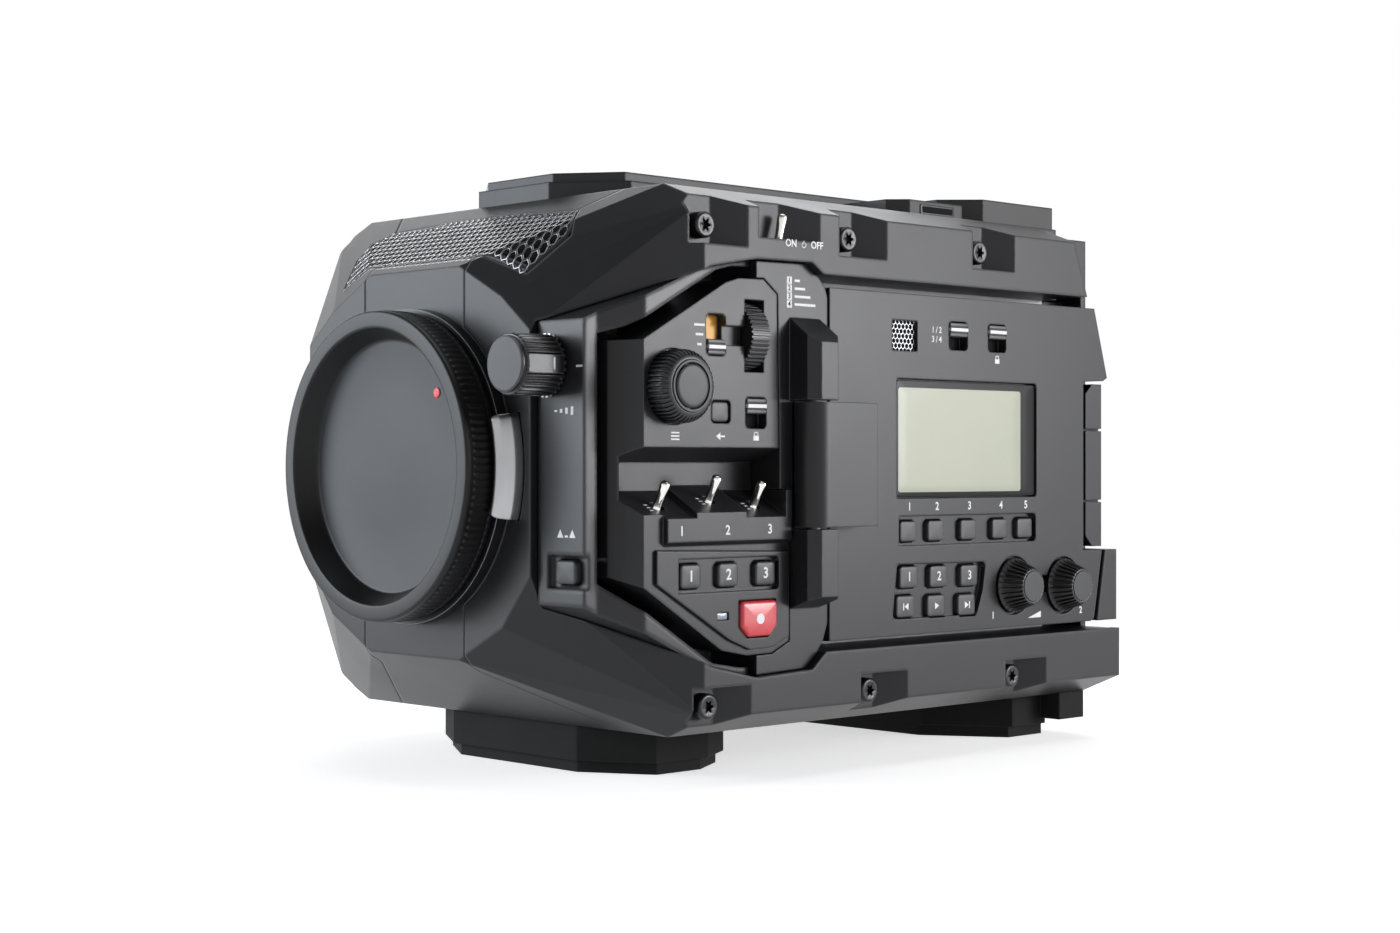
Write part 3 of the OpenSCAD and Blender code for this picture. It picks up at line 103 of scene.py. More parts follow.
class Signal:
    """A number that flows through a shader, so that arithmetic on it is written as Python."""

    def __init__(self, tree: "ShaderTree", socket: Socket) -> None:
        """Wraps an output socket of the tree."""
        self.tree = tree
        self.socket = socket

    def _maths(self, operation: str, *terms: object) -> "Signal":
        """Adds a Math node.

        Args:
            operation: Name of the Math node's operation.
            *terms: Numbers or signals, in the order of the node's sockets.

        Returns:
            The node's result.
        """
        item = self.tree.node("ShaderNodeMath", {"operation": operation}, dict(enumerate(terms)))
        return Signal(self.tree, item.outputs[0])

    def __add__(self, other: object) -> "Signal":
        """Sum of the signal and a number or signal."""
        return self._maths("ADD", self, other)

    __radd__ = __add__

    def __sub__(self, other: object) -> "Signal":
        """The signal less a number or signal."""
        return self._maths("SUBTRACT", self, other)

    def __rsub__(self, other: object) -> "Signal":
        """A number less the signal."""
        return self._maths("SUBTRACT", other, self)

    def __mul__(self, other: object) -> "Signal":
        """Product of the signal and a number or signal."""
        return self._maths("MULTIPLY", self, other)

    __rmul__ = __mul__

    def __pow__(self, other: object) -> "Signal":
        """The signal raised to a power."""
        return self._maths("POWER", self, other)

    def limited(self) -> "Signal":
        """The signal held between 0 and 1."""
        return self._maths("MINIMUM", self._maths("MAXIMUM", self, 0.0), 1.0)

    def size(self) -> "Signal":
        """The signal without its sign."""
        return self._maths("ABSOLUTE", self)

    def rise(self, low: float, high: float) -> "Signal":
        """Smooth step from 0 at low to 1 at high.

        Args:
            low: Value at which the step starts.
            high: Value at which it ends.

        Returns:
            The step.
        """
        item = self.tree.node("ShaderNodeMapRange", {"interpolation_type": "SMOOTHSTEP"},
                              {"Value": self, "From Min": low, "From Max": high})
        return Signal(self.tree, item.outputs[0])


class ShaderTree:
    """The node tree of one material or of the world, with short ways to add nodes."""

    def __init__(self, name: str, world: bool = False) -> None:
        """Makes an empty material or world with its output node."""
        self.owner = bpy.data.worlds.new(name) if world else bpy.data.materials.new(name)
        self.owner.use_nodes = True
        self.items = self.owner.node_tree.nodes
        self.links = self.owner.node_tree.links
        self.items.clear()
        self.output = self.node("ShaderNodeOutputWorld" if world else "ShaderNodeOutputMaterial")

    def node(self, kind: str, settings: Optional[Mapping[str, object]] = None,
             inputs: Optional[Mapping[Union[str, int], object]] = None) -> bpy.types.Node:
        """Adds a node, sets it up, and fills its sockets.

        Args:
            kind: The node's type name.
            settings: Properties that are set first.
            inputs: Numbers, colours, sockets or signals for the sockets, by name or place.

        Returns:
            The new node.
        """
        item = self.items.new(kind)
        for key, value in (settings or {}).items():
            setattr(item, key, value)
        for key, value in (inputs or {}).items():
            self.feed(item.inputs[key], value)
        return item

    def feed(self, socket: Socket, value: object) -> None:
        """Links a signal or socket to an input, or sets the input's own value."""
        if isinstance(value, Signal):
            self.links.new(value.socket, socket)
        elif isinstance(value, Socket):
            self.links.new(value, socket)
        elif isinstance(value, tuple) and len(value) == 3 and socket.type == "RGBA":
            socket.default_value = (*value, 1.0)
        else:
            socket.default_value = value

    def place(self) -> Socket:
        """The surface point in the piece's own coordinates, in metres."""
        return self.node("ShaderNodeTexCoord").outputs["Object"]

    def parts(self, vector: Socket) -> tuple[Signal, Signal, Signal]:
        """The three components of a vector."""
        item = self.node("ShaderNodeSeparateXYZ", inputs={0: vector})
        return tuple(Signal(self, item.outputs[axis]) for axis in range(3))

    def noise(self, vector: Socket, grain: float, detail: float = 2.0) -> Signal:
        """Soft noise whose lumps are about one grain across.

        Args:
            vector: Where the noise is read.
            grain: Size of a lump in millimetres.
            detail: Number of finer layers.

        Returns:
            The noise, about 0.5 on average.
        """
        item = self.node("ShaderNodeTexNoise", inputs={"Vector": vector, "Scale": 1 / (grain * MM),
                                                       "Detail": detail, "Roughness": 0.55})
        return Signal(self, item.outputs[0])

    def blend(self, share: object, first: object, second: object) -> Socket:
        """Mixes two colours.

        Args:
            share: Share of the second colour.
            first: Colour at share 0.
            second: Colour at share 1.

        Returns:
            The mixed colour.
        """
        item = self.node("ShaderNodeMix", {"data_type": "RGBA"}, {0: share, 6: first, 7: second})
        return item.outputs[2]

    def shown(self) -> Signal:
        """1 for camera, glossy and clear rays, 0 for the rest."""
        rays = self.node("ShaderNodeLightPath").outputs
        seen, glossy, clear = (Signal(self, rays[f"Is {kind} Ray"])
                               for kind in ("Camera", "Glossy", "Transmission"))
        return (seen + glossy + clear).limited()

    def surface(self, shader: bpy.types.Node) -> bpy.types.ID:
        """Ends the tree at a shader, and gives its material or world."""
        self.feed(self.output.inputs["Surface"], shader.outputs[0])
        return self.owner


class Brush(Enum):
    """Ways that the fine lines of a brushed metal run."""

    NONE = (1.0, 1.0, 1.0)
    UPRIGHT = (1.0, 1.0, 0.03)


@dataclass(frozen=True)
class Finish:
    """A surface finish: its colours, gloss, grain and the painted highlight on its edges."""

    name: str
    colour: Colour
    tint: Colour
    roughness: float = 0.5
    spread: float = 0.08
    metallic: float = 0.0
    coat: float = 0.0
    shine: float = 0.5
    grain: float = 0.5
    depth: float = 0.012
    cloud: float = 24.0
    edge: float = 0.5
    # Colour and share of the painted highlight on edges, which stands in for light catching them.
    edge_colour: Colour = (0.09, 0.09, 0.095)
    edge_share: float = 0.35
    brush: Brush = Brush.NONE

    def colour_at(self, tree: ShaderTree, place: Socket, mixed: Socket) -> Socket:
        """Colour over the surface, before the painted edge highlight. Plain finishes keep the mixed
        colour.
        """
        return mixed

    def build(self) -> bpy.types.Material:
        """Makes the material.

        The colour drifts between two tones with a broad and a fine noise. Edges, found by how far
        the rounded normal leans from the true one, get a painted highlight: they are paler, and
        smoother. The fine noise is also the bump.

        Returns:
            The material.
        """
        tree = ShaderTree(self.name)
        place = tree.place()
        stretched = place if self.brush is Brush.NONE else tree.node(
            "ShaderNodeMapping", inputs={"Vector": place, "Scale": self.brush.value}).outputs[0]
        cloud = tree.noise(place, self.cloud, 3.0)
        fine = tree.noise(stretched, self.grain, 3.0)
        soft = tree.node("ShaderNodeBevel", {"samples": 6}, {"Radius": self.edge * MM}).outputs[0]
        true = tree.node("ShaderNodeNewGeometry").outputs["Normal"]
        lean = Signal(tree, tree.node("ShaderNodeVectorMath", {"operation": "DOT_PRODUCT"},
                                      {0: soft, 1: true}).outputs[1])
        # Painted highlight on the edges: a pale colour where the rounded normal leans from the true
        # one.
        painted_edge_highlight = ((1.0 - lean) * 5.0 * (0.55 + cloud * 0.9)).limited() * self.edge_share
        mixed = tree.blend((cloud * 0.7 + fine * 0.6 - 0.15).limited(), self.colour, self.tint)
        colour = tree.blend(painted_edge_highlight, self.colour_at(tree, place, mixed), self.edge_colour)
        bump = tree.node("ShaderNodeBump", inputs={"Strength": 0.6, "Distance": self.depth * MM,
                                                   "Height": fine, "Normal": soft}).outputs[0]
        rough = (self.roughness - self.spread + (cloud + fine) * self.spread
                 - painted_edge_highlight * 0.12).limited()
        shader = tree.node("ShaderNodeBsdfPrincipled", inputs={
            "Base Color": colour, "Roughness": rough, "Metallic": self.metallic, "Normal": bump,
            "Coat Weight": self.coat, "Coat Roughness": 0.12, "Specular IOR Level": self.shine})
        return tree.surface(shader)


@dataclass(frozen=True)
class RingFinish(Finish):
    """A finish with a second colour inside a radius round an axis along Y."""

    inner: Colour = (0.5, 0.5, 0.5)
    radius: float = 30.0
    centre: Pair = (0.0, 75.0)

    def colour_at(self, tree: ShaderTree, place: Socket, mixed: Socket) -> Socket:
        """Mixed colour outside the radius, the inner colour inside it."""
        x, _, z = tree.parts(place)
        across = x - self.centre[0] * MM
        up = z - self.centre[1] * MM
        distance = (across * across + up * up) ** 0.5
        return tree.blend(distance.rise(self.radius * MM, (self.radius + 0.1) * MM), self.inner,
                          mixed)


@dataclass(frozen=True)
class StripeFinish(Finish):
    """A finish with a pale stripe at one height, as on the lever of a slide switch."""

    stripe: Colour = (0.85, 0.85, 0.83)
    middle: float = 0.0
    half: float = 0.45

    def colour_at(self, tree: ShaderTree, place: Socket, mixed: Socket) -> Socket:
        """Stripe colour near the middle height, the mixed colour elsewhere."""
        _, _, z = tree.parts(place)
        away = (z - self.middle * MM).size()
        return tree.blend(away.rise((self.half - 0.05) * MM, self.half * MM), self.stripe, mixed)


@dataclass(frozen=True)
class Glass:
    """A display's glass: smooth, with a faint drift of its colour and smudges in its gloss."""

    name: str
    colour: Colour
    tint: Colour
    roughness: float = 0.12
    cloud: float = 30.0
    shine: float = 0.5
    coat: float = 0.4

    def build(self) -> bpy.types.Material:
        """Makes the material.

        The colour drifts with a broad noise. A finer noise gives the smudges, and a very fine grid
        of noise gives the faint bump of the layers below.

        Returns:
            The material.
        """
        tree = ShaderTree(self.name)
        place = tree.place()
        cloud = tree.noise(place, self.cloud, 2.0)
        smudge = tree.noise(place, 6.0, 4.0)
        pixels = tree.noise(place, 0.35, 1.0)
        colour = tree.blend((cloud * 1.2 - 0.1).limited(), self.colour, self.tint)
        bump = tree.node("ShaderNodeBump", inputs={"Strength": 0.15, "Distance": 0.004 * MM,
                                                   "Height": pixels}).outputs[0]
        shader = tree.node("ShaderNodeBsdfPrincipled", inputs={
            "Base Color": colour, "Roughness": smudge * 0.1 + self.roughness, "Normal": bump,
            "Coat Weight": self.coat, "Coat Roughness": 0.05, "Specular IOR Level": self.shine})
        return tree.surface(shader)


Surface = Union[Finish, Glass]

# The edge colour of each finish is a painted highlight on its edges, not wear.
CASING = Finish("casing_coat", (0.0155, 0.0155, 0.017), (0.0225, 0.0225, 0.0245), 0.37, shine=0.3,
                grain=0.35, depth=0.016, edge=0.9, edge_colour=(0.22, 0.22, 0.23))
PANEL = Finish("panel_coat", (0.0155, 0.0155, 0.017), (0.0225, 0.0225, 0.0245), 0.35, shine=0.3,
               grain=0.3, depth=0.012, edge=0.5, edge_colour=(0.24, 0.24, 0.25))
FRAME = Finish("frame_coat", (0.016, 0.016, 0.018), (0.024, 0.024, 0.0265), 0.33, shine=0.34,
               grain=0.3, depth=0.012, edge=1.5, edge_colour=(0.1, 0.1, 0.107))
DECK = Finish("deck_coat", (0.015, 0.015, 0.016), (0.023, 0.023, 0.024), 0.4, shine=0.3, grain=0.35,
              depth=0.016, edge=0.8)
FOOT = Finish("foot_rubber", (0.003, 0.003, 0.003), (0.006, 0.006, 0.006), 0.78, shine=0.25,
              grain=0.6, depth=0.03, edge=0.8, edge_colour=(0.05, 0.05, 0.052))
CHASSIS = Finish("chassis_cast", (0.2, 0.2, 0.21), (0.28, 0.28, 0.29), 0.5, metallic=0.7, grain=0.8,
                 depth=0.03, edge=0.5, edge_colour=(0.45, 0.45, 0.46))
# The cap is one plastic: its paler inner colour on the dish floor is painted light, the rest is
# painted darker as shade.
CAP = RingFinish("cap_plastic", (0.007, 0.007, 0.0075), (0.011, 0.011, 0.012), 0.38, shine=0.27,
                 grain=0.3, depth=0.01, edge=0.35, edge_colour=(0.12, 0.12, 0.127),
                 inner=(0.018, 0.019, 0.0225), radius=30.3)
MOUNT = RingFinish("mount_metal", (0.016, 0.016, 0.017), (0.024, 0.024, 0.026), 0.34, metallic=0.35,
                   grain=0.3, edge=0.35, edge_colour=(0.5, 0.5, 0.52), edge_share=0.7,
                   inner=(0.5, 0.5, 0.52), radius=34.5)
RELEASE = Finish("release_metal", (0.34, 0.345, 0.355), (0.46, 0.465, 0.48), 0.3, metallic=1.0,
                 grain=1.2, depth=0.012, cloud=9.0, edge=0.7, edge_colour=(0.9, 0.9, 0.92),
                 brush=Brush.UPRIGHT)
KNOB = Finish("knob_plastic", (0.01, 0.01, 0.011), (0.018, 0.018, 0.02), 0.3, shine=0.4, grain=0.35,
              depth=0.01, edge=0.25, edge_colour=(0.18, 0.18, 0.19), edge_share=0.6)
FLUTES = Finish("flute_plastic", (0.006, 0.006, 0.0065), (0.011, 0.011, 0.012), 0.34, grain=0.35,
                depth=0.01, edge=0.15, edge_colour=(0.28, 0.28, 0.29), edge_share=0.8)
DISC = Finish("disc_plastic", (0.034, 0.035, 0.038), (0.044, 0.045, 0.049), 0.4, shine=0.32,
              grain=0.3, depth=0.008, edge=0.2, edge_colour=(0.16, 0.16, 0.17), edge_share=0.6)
KEY = Finish("key_plastic", (0.036, 0.036, 0.039), (0.048, 0.048, 0.052), 0.4, shine=0.4,
             grain=0.25, depth=0.008, edge=0.25, edge_colour=(0.2, 0.2, 0.21), edge_share=0.5)
CHROME = Finish("toggle_chrome", (0.78, 0.76, 0.72), (0.86, 0.84, 0.8), 0.1, 0.03, metallic=1.0,
                grain=0.6, depth=0.002, cloud=3.0, edge=0.15, edge_colour=(0.9, 0.9, 0.9))
STEEL = Finish("rosette_steel", (0.42, 0.42, 0.44), (0.56, 0.56, 0.58), 0.32, metallic=1.0,
               grain=0.6, depth=0.01, edge=0.3, edge_colour=(0.8, 0.8, 0.82))
RED = Finish("record_red", (0.62, 0.02, 0.035), (0.74, 0.05, 0.06), 0.3, grain=0.4, depth=0.004,
             coat=0.25, edge=0.6, edge_colour=(0.95, 0.45, 0.45), edge_share=0.75)
SCREW = Finish("screw_black", (0.011, 0.011, 0.012), (0.02, 0.02, 0.021), 0.3, metallic=0.3,
               grain=0.3, depth=0.008, edge=0.2, edge_colour=(0.2, 0.2, 0.21), edge_share=0.5)
DARK = Finish("recess_black", (0.0025, 0.0025, 0.0025), (0.0045, 0.0045, 0.0045), 0.75, shine=0.15,
              grain=0.6, edge=0.2, edge_share=0.1)
MESH = Finish("mesh_wire", (0.2, 0.2, 0.21), (0.34, 0.34, 0.36), 0.26, metallic=1.0, grain=0.4,
              depth=0.006, edge=0.08, edge_colour=(0.6, 0.6, 0.62))
PRINT = Finish("print_white", (0.86, 0.86, 0.86), (0.93, 0.93, 0.93), 0.55, grain=0.2, depth=0.004,
               edge=0.05, edge_colour=(0.85, 0.85, 0.85))
ORANGE = Finish("marker_orange", (0.95, 0.46, 0.05), (1.0, 0.54, 0.08), 0.45, grain=0.3,
                depth=0.004, edge=0.2, edge_colour=(0.95, 0.6, 0.25))
MARKER_RED = Finish("marker_red", (0.72, 0.03, 0.04), (0.82, 0.06, 0.07), 0.4, grain=0.3,
                    depth=0.004, edge=0.2, edge_colour=(0.9, 0.3, 0.3))
BOARD = Finish("board_green", (0.02, 0.09, 0.045), (0.03, 0.13, 0.065), 0.4, grain=0.8, edge=0.3)
NYLON = Finish("gear_nylon", (0.55, 0.53, 0.46), (0.66, 0.64, 0.57), 0.45, grain=0.5, edge=0.3,
               edge_colour=(0.75, 0.74, 0.7))
BRASS = Finish("contact_brass", (0.72, 0.52, 0.2), (0.82, 0.62, 0.3), 0.28, metallic=1.0, grain=0.5,
               depth=0.006, edge=0.2, edge_colour=(0.9, 0.75, 0.45), brush=Brush.UPRIGHT)
LAMP = Glass("lamp_window", (0.2, 0.24, 0.34), (0.28, 0.32, 0.44), 0.2, 2.0)
LCD = Glass("lcd_glass", (0.46, 0.48, 0.37), (0.5, 0.52, 0.4), 0.25, shine=0.3, coat=0.0)
BEZEL = Glass("lcd_bezel", (0.007, 0.007, 0.008), (0.011, 0.011, 0.012), 0.25, shine=0.15, coat=0.0)
TOUCH = Glass("touch_glass", (0.008, 0.008, 0.01), (0.014, 0.014, 0.018), 0.07, 40.0)


# Mesh building ----------------------------------------


class Facing(Enum):
    """Ways that a face looks: the directions of its width, its height and its outward normal."""

    OPERATOR = ((0, 1, 0), (0, 0, 1), (1, 0, 0))
    FRONT = ((1, 0, 0), (0, 0, 1), (0, -1, 0))
    REAR = ((-1, 0, 0), (0, 0, 1), (0, 1, 0))
    FAR = ((0, -1, 0), (0, 0, 1), (-1, 0, 0))
    ACROSS = ((0, 0, 1), (1, 0, 0), (0, 1, 0))


BOTH_SIDES = ((Facing.OPERATOR, 1), (Facing.FAR, -1))


@dataclass(frozen=True)
class Seat:
    """A plane that a piece stands on: its origin in millimetres and its three directions."""

    origin: Point
    axes: tuple[Point, Point, Point]

    @classmethod
    def on(cls, origin: Point, facing: Facing) -> "Seat":
        """A seat that looks one of the main ways."""
        return cls(origin, facing.value)

    @classmethod
    def side(cls, x: float, y: float = 0.0, z: float = 0.0) -> "Seat":
        """A seat that looks to the operator's side."""
        return cls.on((x, y, z), Facing.OPERATOR)

    @classmethod
    def along(cls, origin: Point, axis: Point) -> "Seat":
        """A seat whose normal is any axis.

        Args:
            origin: Point on the seat, in millimetres.
            axis: Direction of the normal.

        Returns:
            The seat.
        """
        normal = Vector(axis).normalized()
        width = normal.orthogonal().normalized()
        return cls(origin, (tuple(width), tuple(normal.cross(width)), tuple(normal)))

    def points(self, width: Array, height: Array, rise: Array) -> Array:
        """Points in metres: origin plus each distance times its direction.

        Args:
            width: Distances along the first direction, in millimetres.
            height: Distances along the second direction.
            rise: Distances along the normal.

        Returns:
            Points as rows of three.
        """
        spans = np.stack(np.broadcast_arrays(width, height, rise), axis=-1).reshape(-1, 3)
        return (np.array(self.origin) + spans @ np.array(self.axes, float)) * MM


@dataclass
class Shape:
    """Points and faces of a mesh before it becomes an object."""

    points: Array
    faces: list[Sequence[int]]

    @staticmethod
    def joined(shapes: Iterable["Shape"]) -> "Shape":
        """One shape of several, each keeping its own points."""
        points, faces, start = [], [], 0
        for shape in shapes:
            points.append(shape.points)
            faces.extend([tuple(start + index for index in face) for face in shape.faces])
            start += len(shape.points)
        return Shape(np.concatenate(points), faces)

    def outward(self) -> "Shape":
        """The closed shape, its faces outwards: they are turned if its signed volume is below 0."""
        volume = sum(float(np.dot(self.points[face[0]], np.cross(self.points[face[i]],
                                                                  self.points[face[i + 1]])))
                     for face in self.faces for i in range(1, len(face) - 1))
        faces = self.faces if volume > 0 else [tuple(reversed(face)) for face in self.faces]
        return Shape(self.points, faces)

    def turned(self, origin: Point, axis: int, angle: float) -> "Shape":
        """The shape turned about an axis through a point in millimetres.

        Args:
            origin: A point on the axis.
            axis: 0, 1 or 2 for X, Y or Z.
            angle: Turn in radians.

        Returns:
            The turned shape.
        """
        one, two = (axis + 1) % 3, (axis + 2) % 3
        local = self.points - np.array(origin) * MM
        turned = local.copy()
        turned[:, one] = local[:, one] * math.cos(angle) - local[:, two] * math.sin(angle)
        turned[:, two] = local[:, one] * math.sin(angle) + local[:, two] * math.cos(angle)
        return Shape(turned + np.array(origin) * MM, self.faces)

    def open(self) -> "Shape":
        """The shape without the two faces over its ends."""
        return Shape(self.points, self.faces[:-2])


def ring_faces(rows: int, columns: int) -> list[Sequence[int]]:
    """Faces of a tube of points: quads between rows, and one face over each end.

    Args:
        rows: Number of rings.
        columns: Number of points in each ring.

    Returns:
        Faces that point outwards where the rings climb and their points run anticlockwise.
    """
    row, column = np.meshgrid(np.arange(rows - 1), np.arange(columns), indexing="ij")
    here, there = row * columns + column, row * columns + (column + 1) % columns
    quads = np.stack([here, there, there + columns, here + columns], axis=-1).reshape(-1, 4)
    last = (rows - 1) * columns
    return [*map(tuple, quads.tolist()), tuple(range(columns - 1, -1, -1)),
            tuple(range(last, last + columns))]


Warp = Callable[[Array, Array, Array], tuple[Array, Array]]


def lathe(seat: Seat, profile: Sequence[Pair], segments: int, warp: Optional[Warp] = None) -> Shape:
    """A turned shape: each profile point goes round the seat's normal, and a warp may cut into it.

    Args:
        seat: The axis and its foot.
        profile: Radius and height of each ring, from the foot up and in to the middle.
        segments: Points in each ring.
        warp: Takes radius, height and angle, each as a table of rings by points, and gives new
            radius and height.

    Returns:
        The closed shape.
    """
    rings = np.array(profile, float)
    angle = np.broadcast_to(np.linspace(0, 2 * math.pi, segments, endpoint=False),
                            (len(rings), segments))
    radius = np.repeat(rings[:, :1], segments, axis=1)
    height = np.repeat(rings[:, 1:], segments, axis=1)
    if warp:
        radius, height = warp(radius, height, angle)
    points = seat.points(radius * np.cos(angle), radius * np.sin(angle), height)
    return Shape(points, ring_faces(len(rings), segments))


def circle(angle: Array) -> Array:
    """Points of the unit circle at the angles."""
    return np.stack([np.cos(angle), np.sin(angle)], axis=-1)


def corner_arcs(corners: Sequence[Pair], radius: float, steps: int) -> tuple[Array, Array, Array]:
    """An arc at each corner of an outline.

    Each arc's centre lies on the line that halves its corner, at the radius over the sine of half
    the angle, and its ends touch the two sides. The radius is limited by the shorter side.

    Args:
        corners: Corner points, in order.
        radius: Radius of the arcs.
        steps: Points on each arc, less one.

    Returns:
        The arcs' points by corner, the directions that halve the corners, and half their angles.
    """
    tip = np.array(corners, float)
    back, ahead = np.roll(tip, 1, axis=0) - tip, np.roll(tip, -1, axis=0) - tip
    back_length, ahead_length = np.hypot(*back.T), np.hypot(*ahead.T)
    back, ahead = back / back_length[:, None], ahead / ahead_length[:, None]
    half = np.arccos(np.clip((back * ahead).sum(axis=1), -1, 1)) / 2
    reach = np.minimum(radius / np.tan(half), 0.49 * np.minimum(back_length, ahead_length))
    limited = reach * np.tan(half)
    middle = back + ahead
    middle /= np.maximum(np.hypot(*middle.T), 1e-9)[:, None]
    centre = tip + middle * (limited / np.sin(half))[:, None]
    start = tip + back * reach[:, None] - centre
    end = tip + ahead * reach[:, None] - centre
    first = np.arctan2(start[:, 1], start[:, 0])
    sweep = (np.arctan2(end[:, 1], end[:, 0]) - first + math.pi) % (2 * math.pi) - math.pi
    angle = first[:, None] + sweep[:, None] * np.linspace(0, 1, steps + 1)
    return centre[:, None, :] + limited[:, None, None] * circle(angle), middle, half


def rounded(corners: Sequence[Pair], radius: float, steps: int = 5) -> Array:
    """An outline with an arc in place of each corner, as rows of two."""
    return corner_arcs(corners, radius, steps)[0].reshape(-1, 2)


def inset(outline: Array, distance: float) -> Array:
    """The outline moved inwards: each point goes along the normal of its two neighbours' chord."""
    chord = np.roll(outline, -1, axis=0) - np.roll(outline, 1, axis=0)
    chord /= np.maximum(np.hypot(*chord.T), 1e-9)[:, None]
    return outline + distance * np.stack([-chord[:, 1], chord[:, 0]], axis=1)


def soft_block(seat: Seat, outline: Array, depth: float, fillet: float, crown: float = 0.0,
               steps: int = 4) -> Shape:
    """An extruded outline with a rounded upper edge and a slightly raised or hollow top.

    Rings climb the side, follow a quarter circle in over the edge, and then shrink to the middle,
    where the height grows by the crown times one less the square of the ring's share.

    Args:
        seat: Plane of the top.
        outline: The outline's points, anticlockwise.
        depth: Distance from the top down to the foot.
        fillet: Radius of the upper edge.
        crown: Height of the middle over the edge, negative for a dish.
        steps: Rings on the edge.

    Returns:
        The closed shape.
    """
    turn = np.linspace(0, math.pi / 2, steps + 1)
    foot = min(fillet, FOOT_BEVEL)
    rings = [(inset(outline, foot), -depth), (outline, foot - depth)]
    rings += [(inset(outline, fillet * (1 - math.cos(t))), fillet * (math.sin(t) - 1))
              for t in turn]
    edge = rings[-1][0]
    middle = edge.mean(axis=0)
    rings += [(middle + (edge - middle) * share, crown * (1 - share * share))
              for share in (0.85, 0.6, 0.3, 0.04)]
    flat = np.stack([ring for ring, _ in rings])
    height = np.repeat(np.array([[level] for _, level in rings]), len(outline), axis=1)
    return Shape(seat.points(flat[:, :, 0], flat[:, :, 1], height),
                 ring_faces(len(rings), len(outline)))


def box_corners(box: Box) -> list[Pair]:
    """The four corners of a box."""
    return [(box[0], box[2]), (box[1], box[2]), (box[1], box[3]), (box[0], box[3])]


def box_outline(width: float, height: float, radius: float) -> Array:
    """A rectangle with round corners about the origin."""
    return rounded(box_corners((-width / 2, width / 2, -height / 2, height / 2)), radius)


def soft_box(seat: Seat, width: float, height: float, radius: float, *form: float) -> Shape:
    """A soft block over a rectangle with round corners; form is its depth, fillet and crown."""
    return soft_block(seat, box_outline(width, height, radius), *form)


def slab(seat: Seat, outline: Sequence[Pair], low: float, high: float) -> Shape:
    """An outline extruded from a low to a high level of the seat."""
    flat = np.tile(np.array(outline, float), (2, 1))
    levels = np.repeat([low, high], len(outline))
    return Shape(seat.points(flat[:, 0], flat[:, 1], levels), ring_faces(2, len(outline)))


def groups(scaled: Array) -> tuple[Array, Array]:
    """Finds points that round to the same whole numbers.

    Args:
        scaled: Points, scaled so that equal ones round to the same numbers.

    Returns:
        The first point of each group, and each point's group.
    """
    _, first, back = np.unique(np.round(scaled).astype(int), axis=0, return_index=True,
                               return_inverse=True)
    return first, np.asarray(back).reshape(-1)


def honeycomb(outline: Array, pitch: float, hole: float) -> tuple[Array, list[Sequence[int]]]:
    """A flat sheet of hexagonal cells, each with a hexagonal hole, within an outline.

    Cell centres lie on rows that are shifted by half a pitch in turn. Six quads join each cell's
    border to its hole. Corners that cells share are found by rounding and merged.

    Args:
        outline: Border within which cell centres must lie, anticlockwise.
        pitch: Distance between centres.
        hole: Share of the cell that its hole takes.

    Returns:
        Points as rows of two, and the faces.
    """
    low, high = outline.min(axis=0), outline.max(axis=0)
    step = pitch * math.sqrt(3) / 2
    row, column = np.meshgrid(np.arange(int((high[1] - low[1]) / step) + 2),
                              np.arange(int((high[0] - low[0]) / pitch) + 2), indexing="ij")
    centre = np.stack([low[0] + (column + 0.5 * (row % 2)) * pitch, low[1] + row * step],
                      axis=-1).reshape(-1, 2)
    ahead = np.roll(outline, -1, axis=0)
    side = (ahead - outline)[None, :, :]
    gap = centre[:, None, :] - outline[None, :, :]
    crossing = ((outline[None, :, 1] > centre[:, None, 1])
                != (ahead[None, :, 1] > centre[:, None, 1]))
    slope = side[..., 0] * gap[..., 1] / np.where(side[..., 1] == 0, 1e-9, side[..., 1])
    centre = centre[(crossing & (gap[..., 0] < slope)).sum(axis=1) % 2 == 1]
    corner = circle(math.pi / 6 + np.arange(6) * math.pi / 3) * pitch / math.sqrt(3)
    outer = (centre[:, None, :] + corner).reshape(-1, 2)
    inner = (centre[:, None, :] + corner * hole).reshape(-1, 2)
    first, back = groups(outer * 1000 / 5)
    here = np.arange(len(outer))
    there = (here // 6) * 6 + (here + 1) % 6
    quads = np.stack([back[here], back[there], len(first) + there, len(first) + here], axis=1)
    return np.concatenate([outer[first], inner]), list(map(tuple, quads.tolist()))


def read(items: Sequence[object], key: str, width: int = 3, kind: type = float) -> Array:
    """Values that the points or faces of a mesh hold.

    Args:
        items: The points or faces.
        key: Name of the value.
        width: Numbers in each value.
        kind: Type of the numbers.

    Returns:
        The values as rows.
    """
    values = np.empty(len(items) * width, kind)
    items.foreach_get(key, values)
    return values.reshape(-1, width)


def add_object(name: str, data: bpy.types.ID) -> bpy.types.Object:
    """A new object of the scene that shows the data."""
    item = bpy.data.objects.new(name, data)
    bpy.context.scene.collection.objects.link(item)
    return item


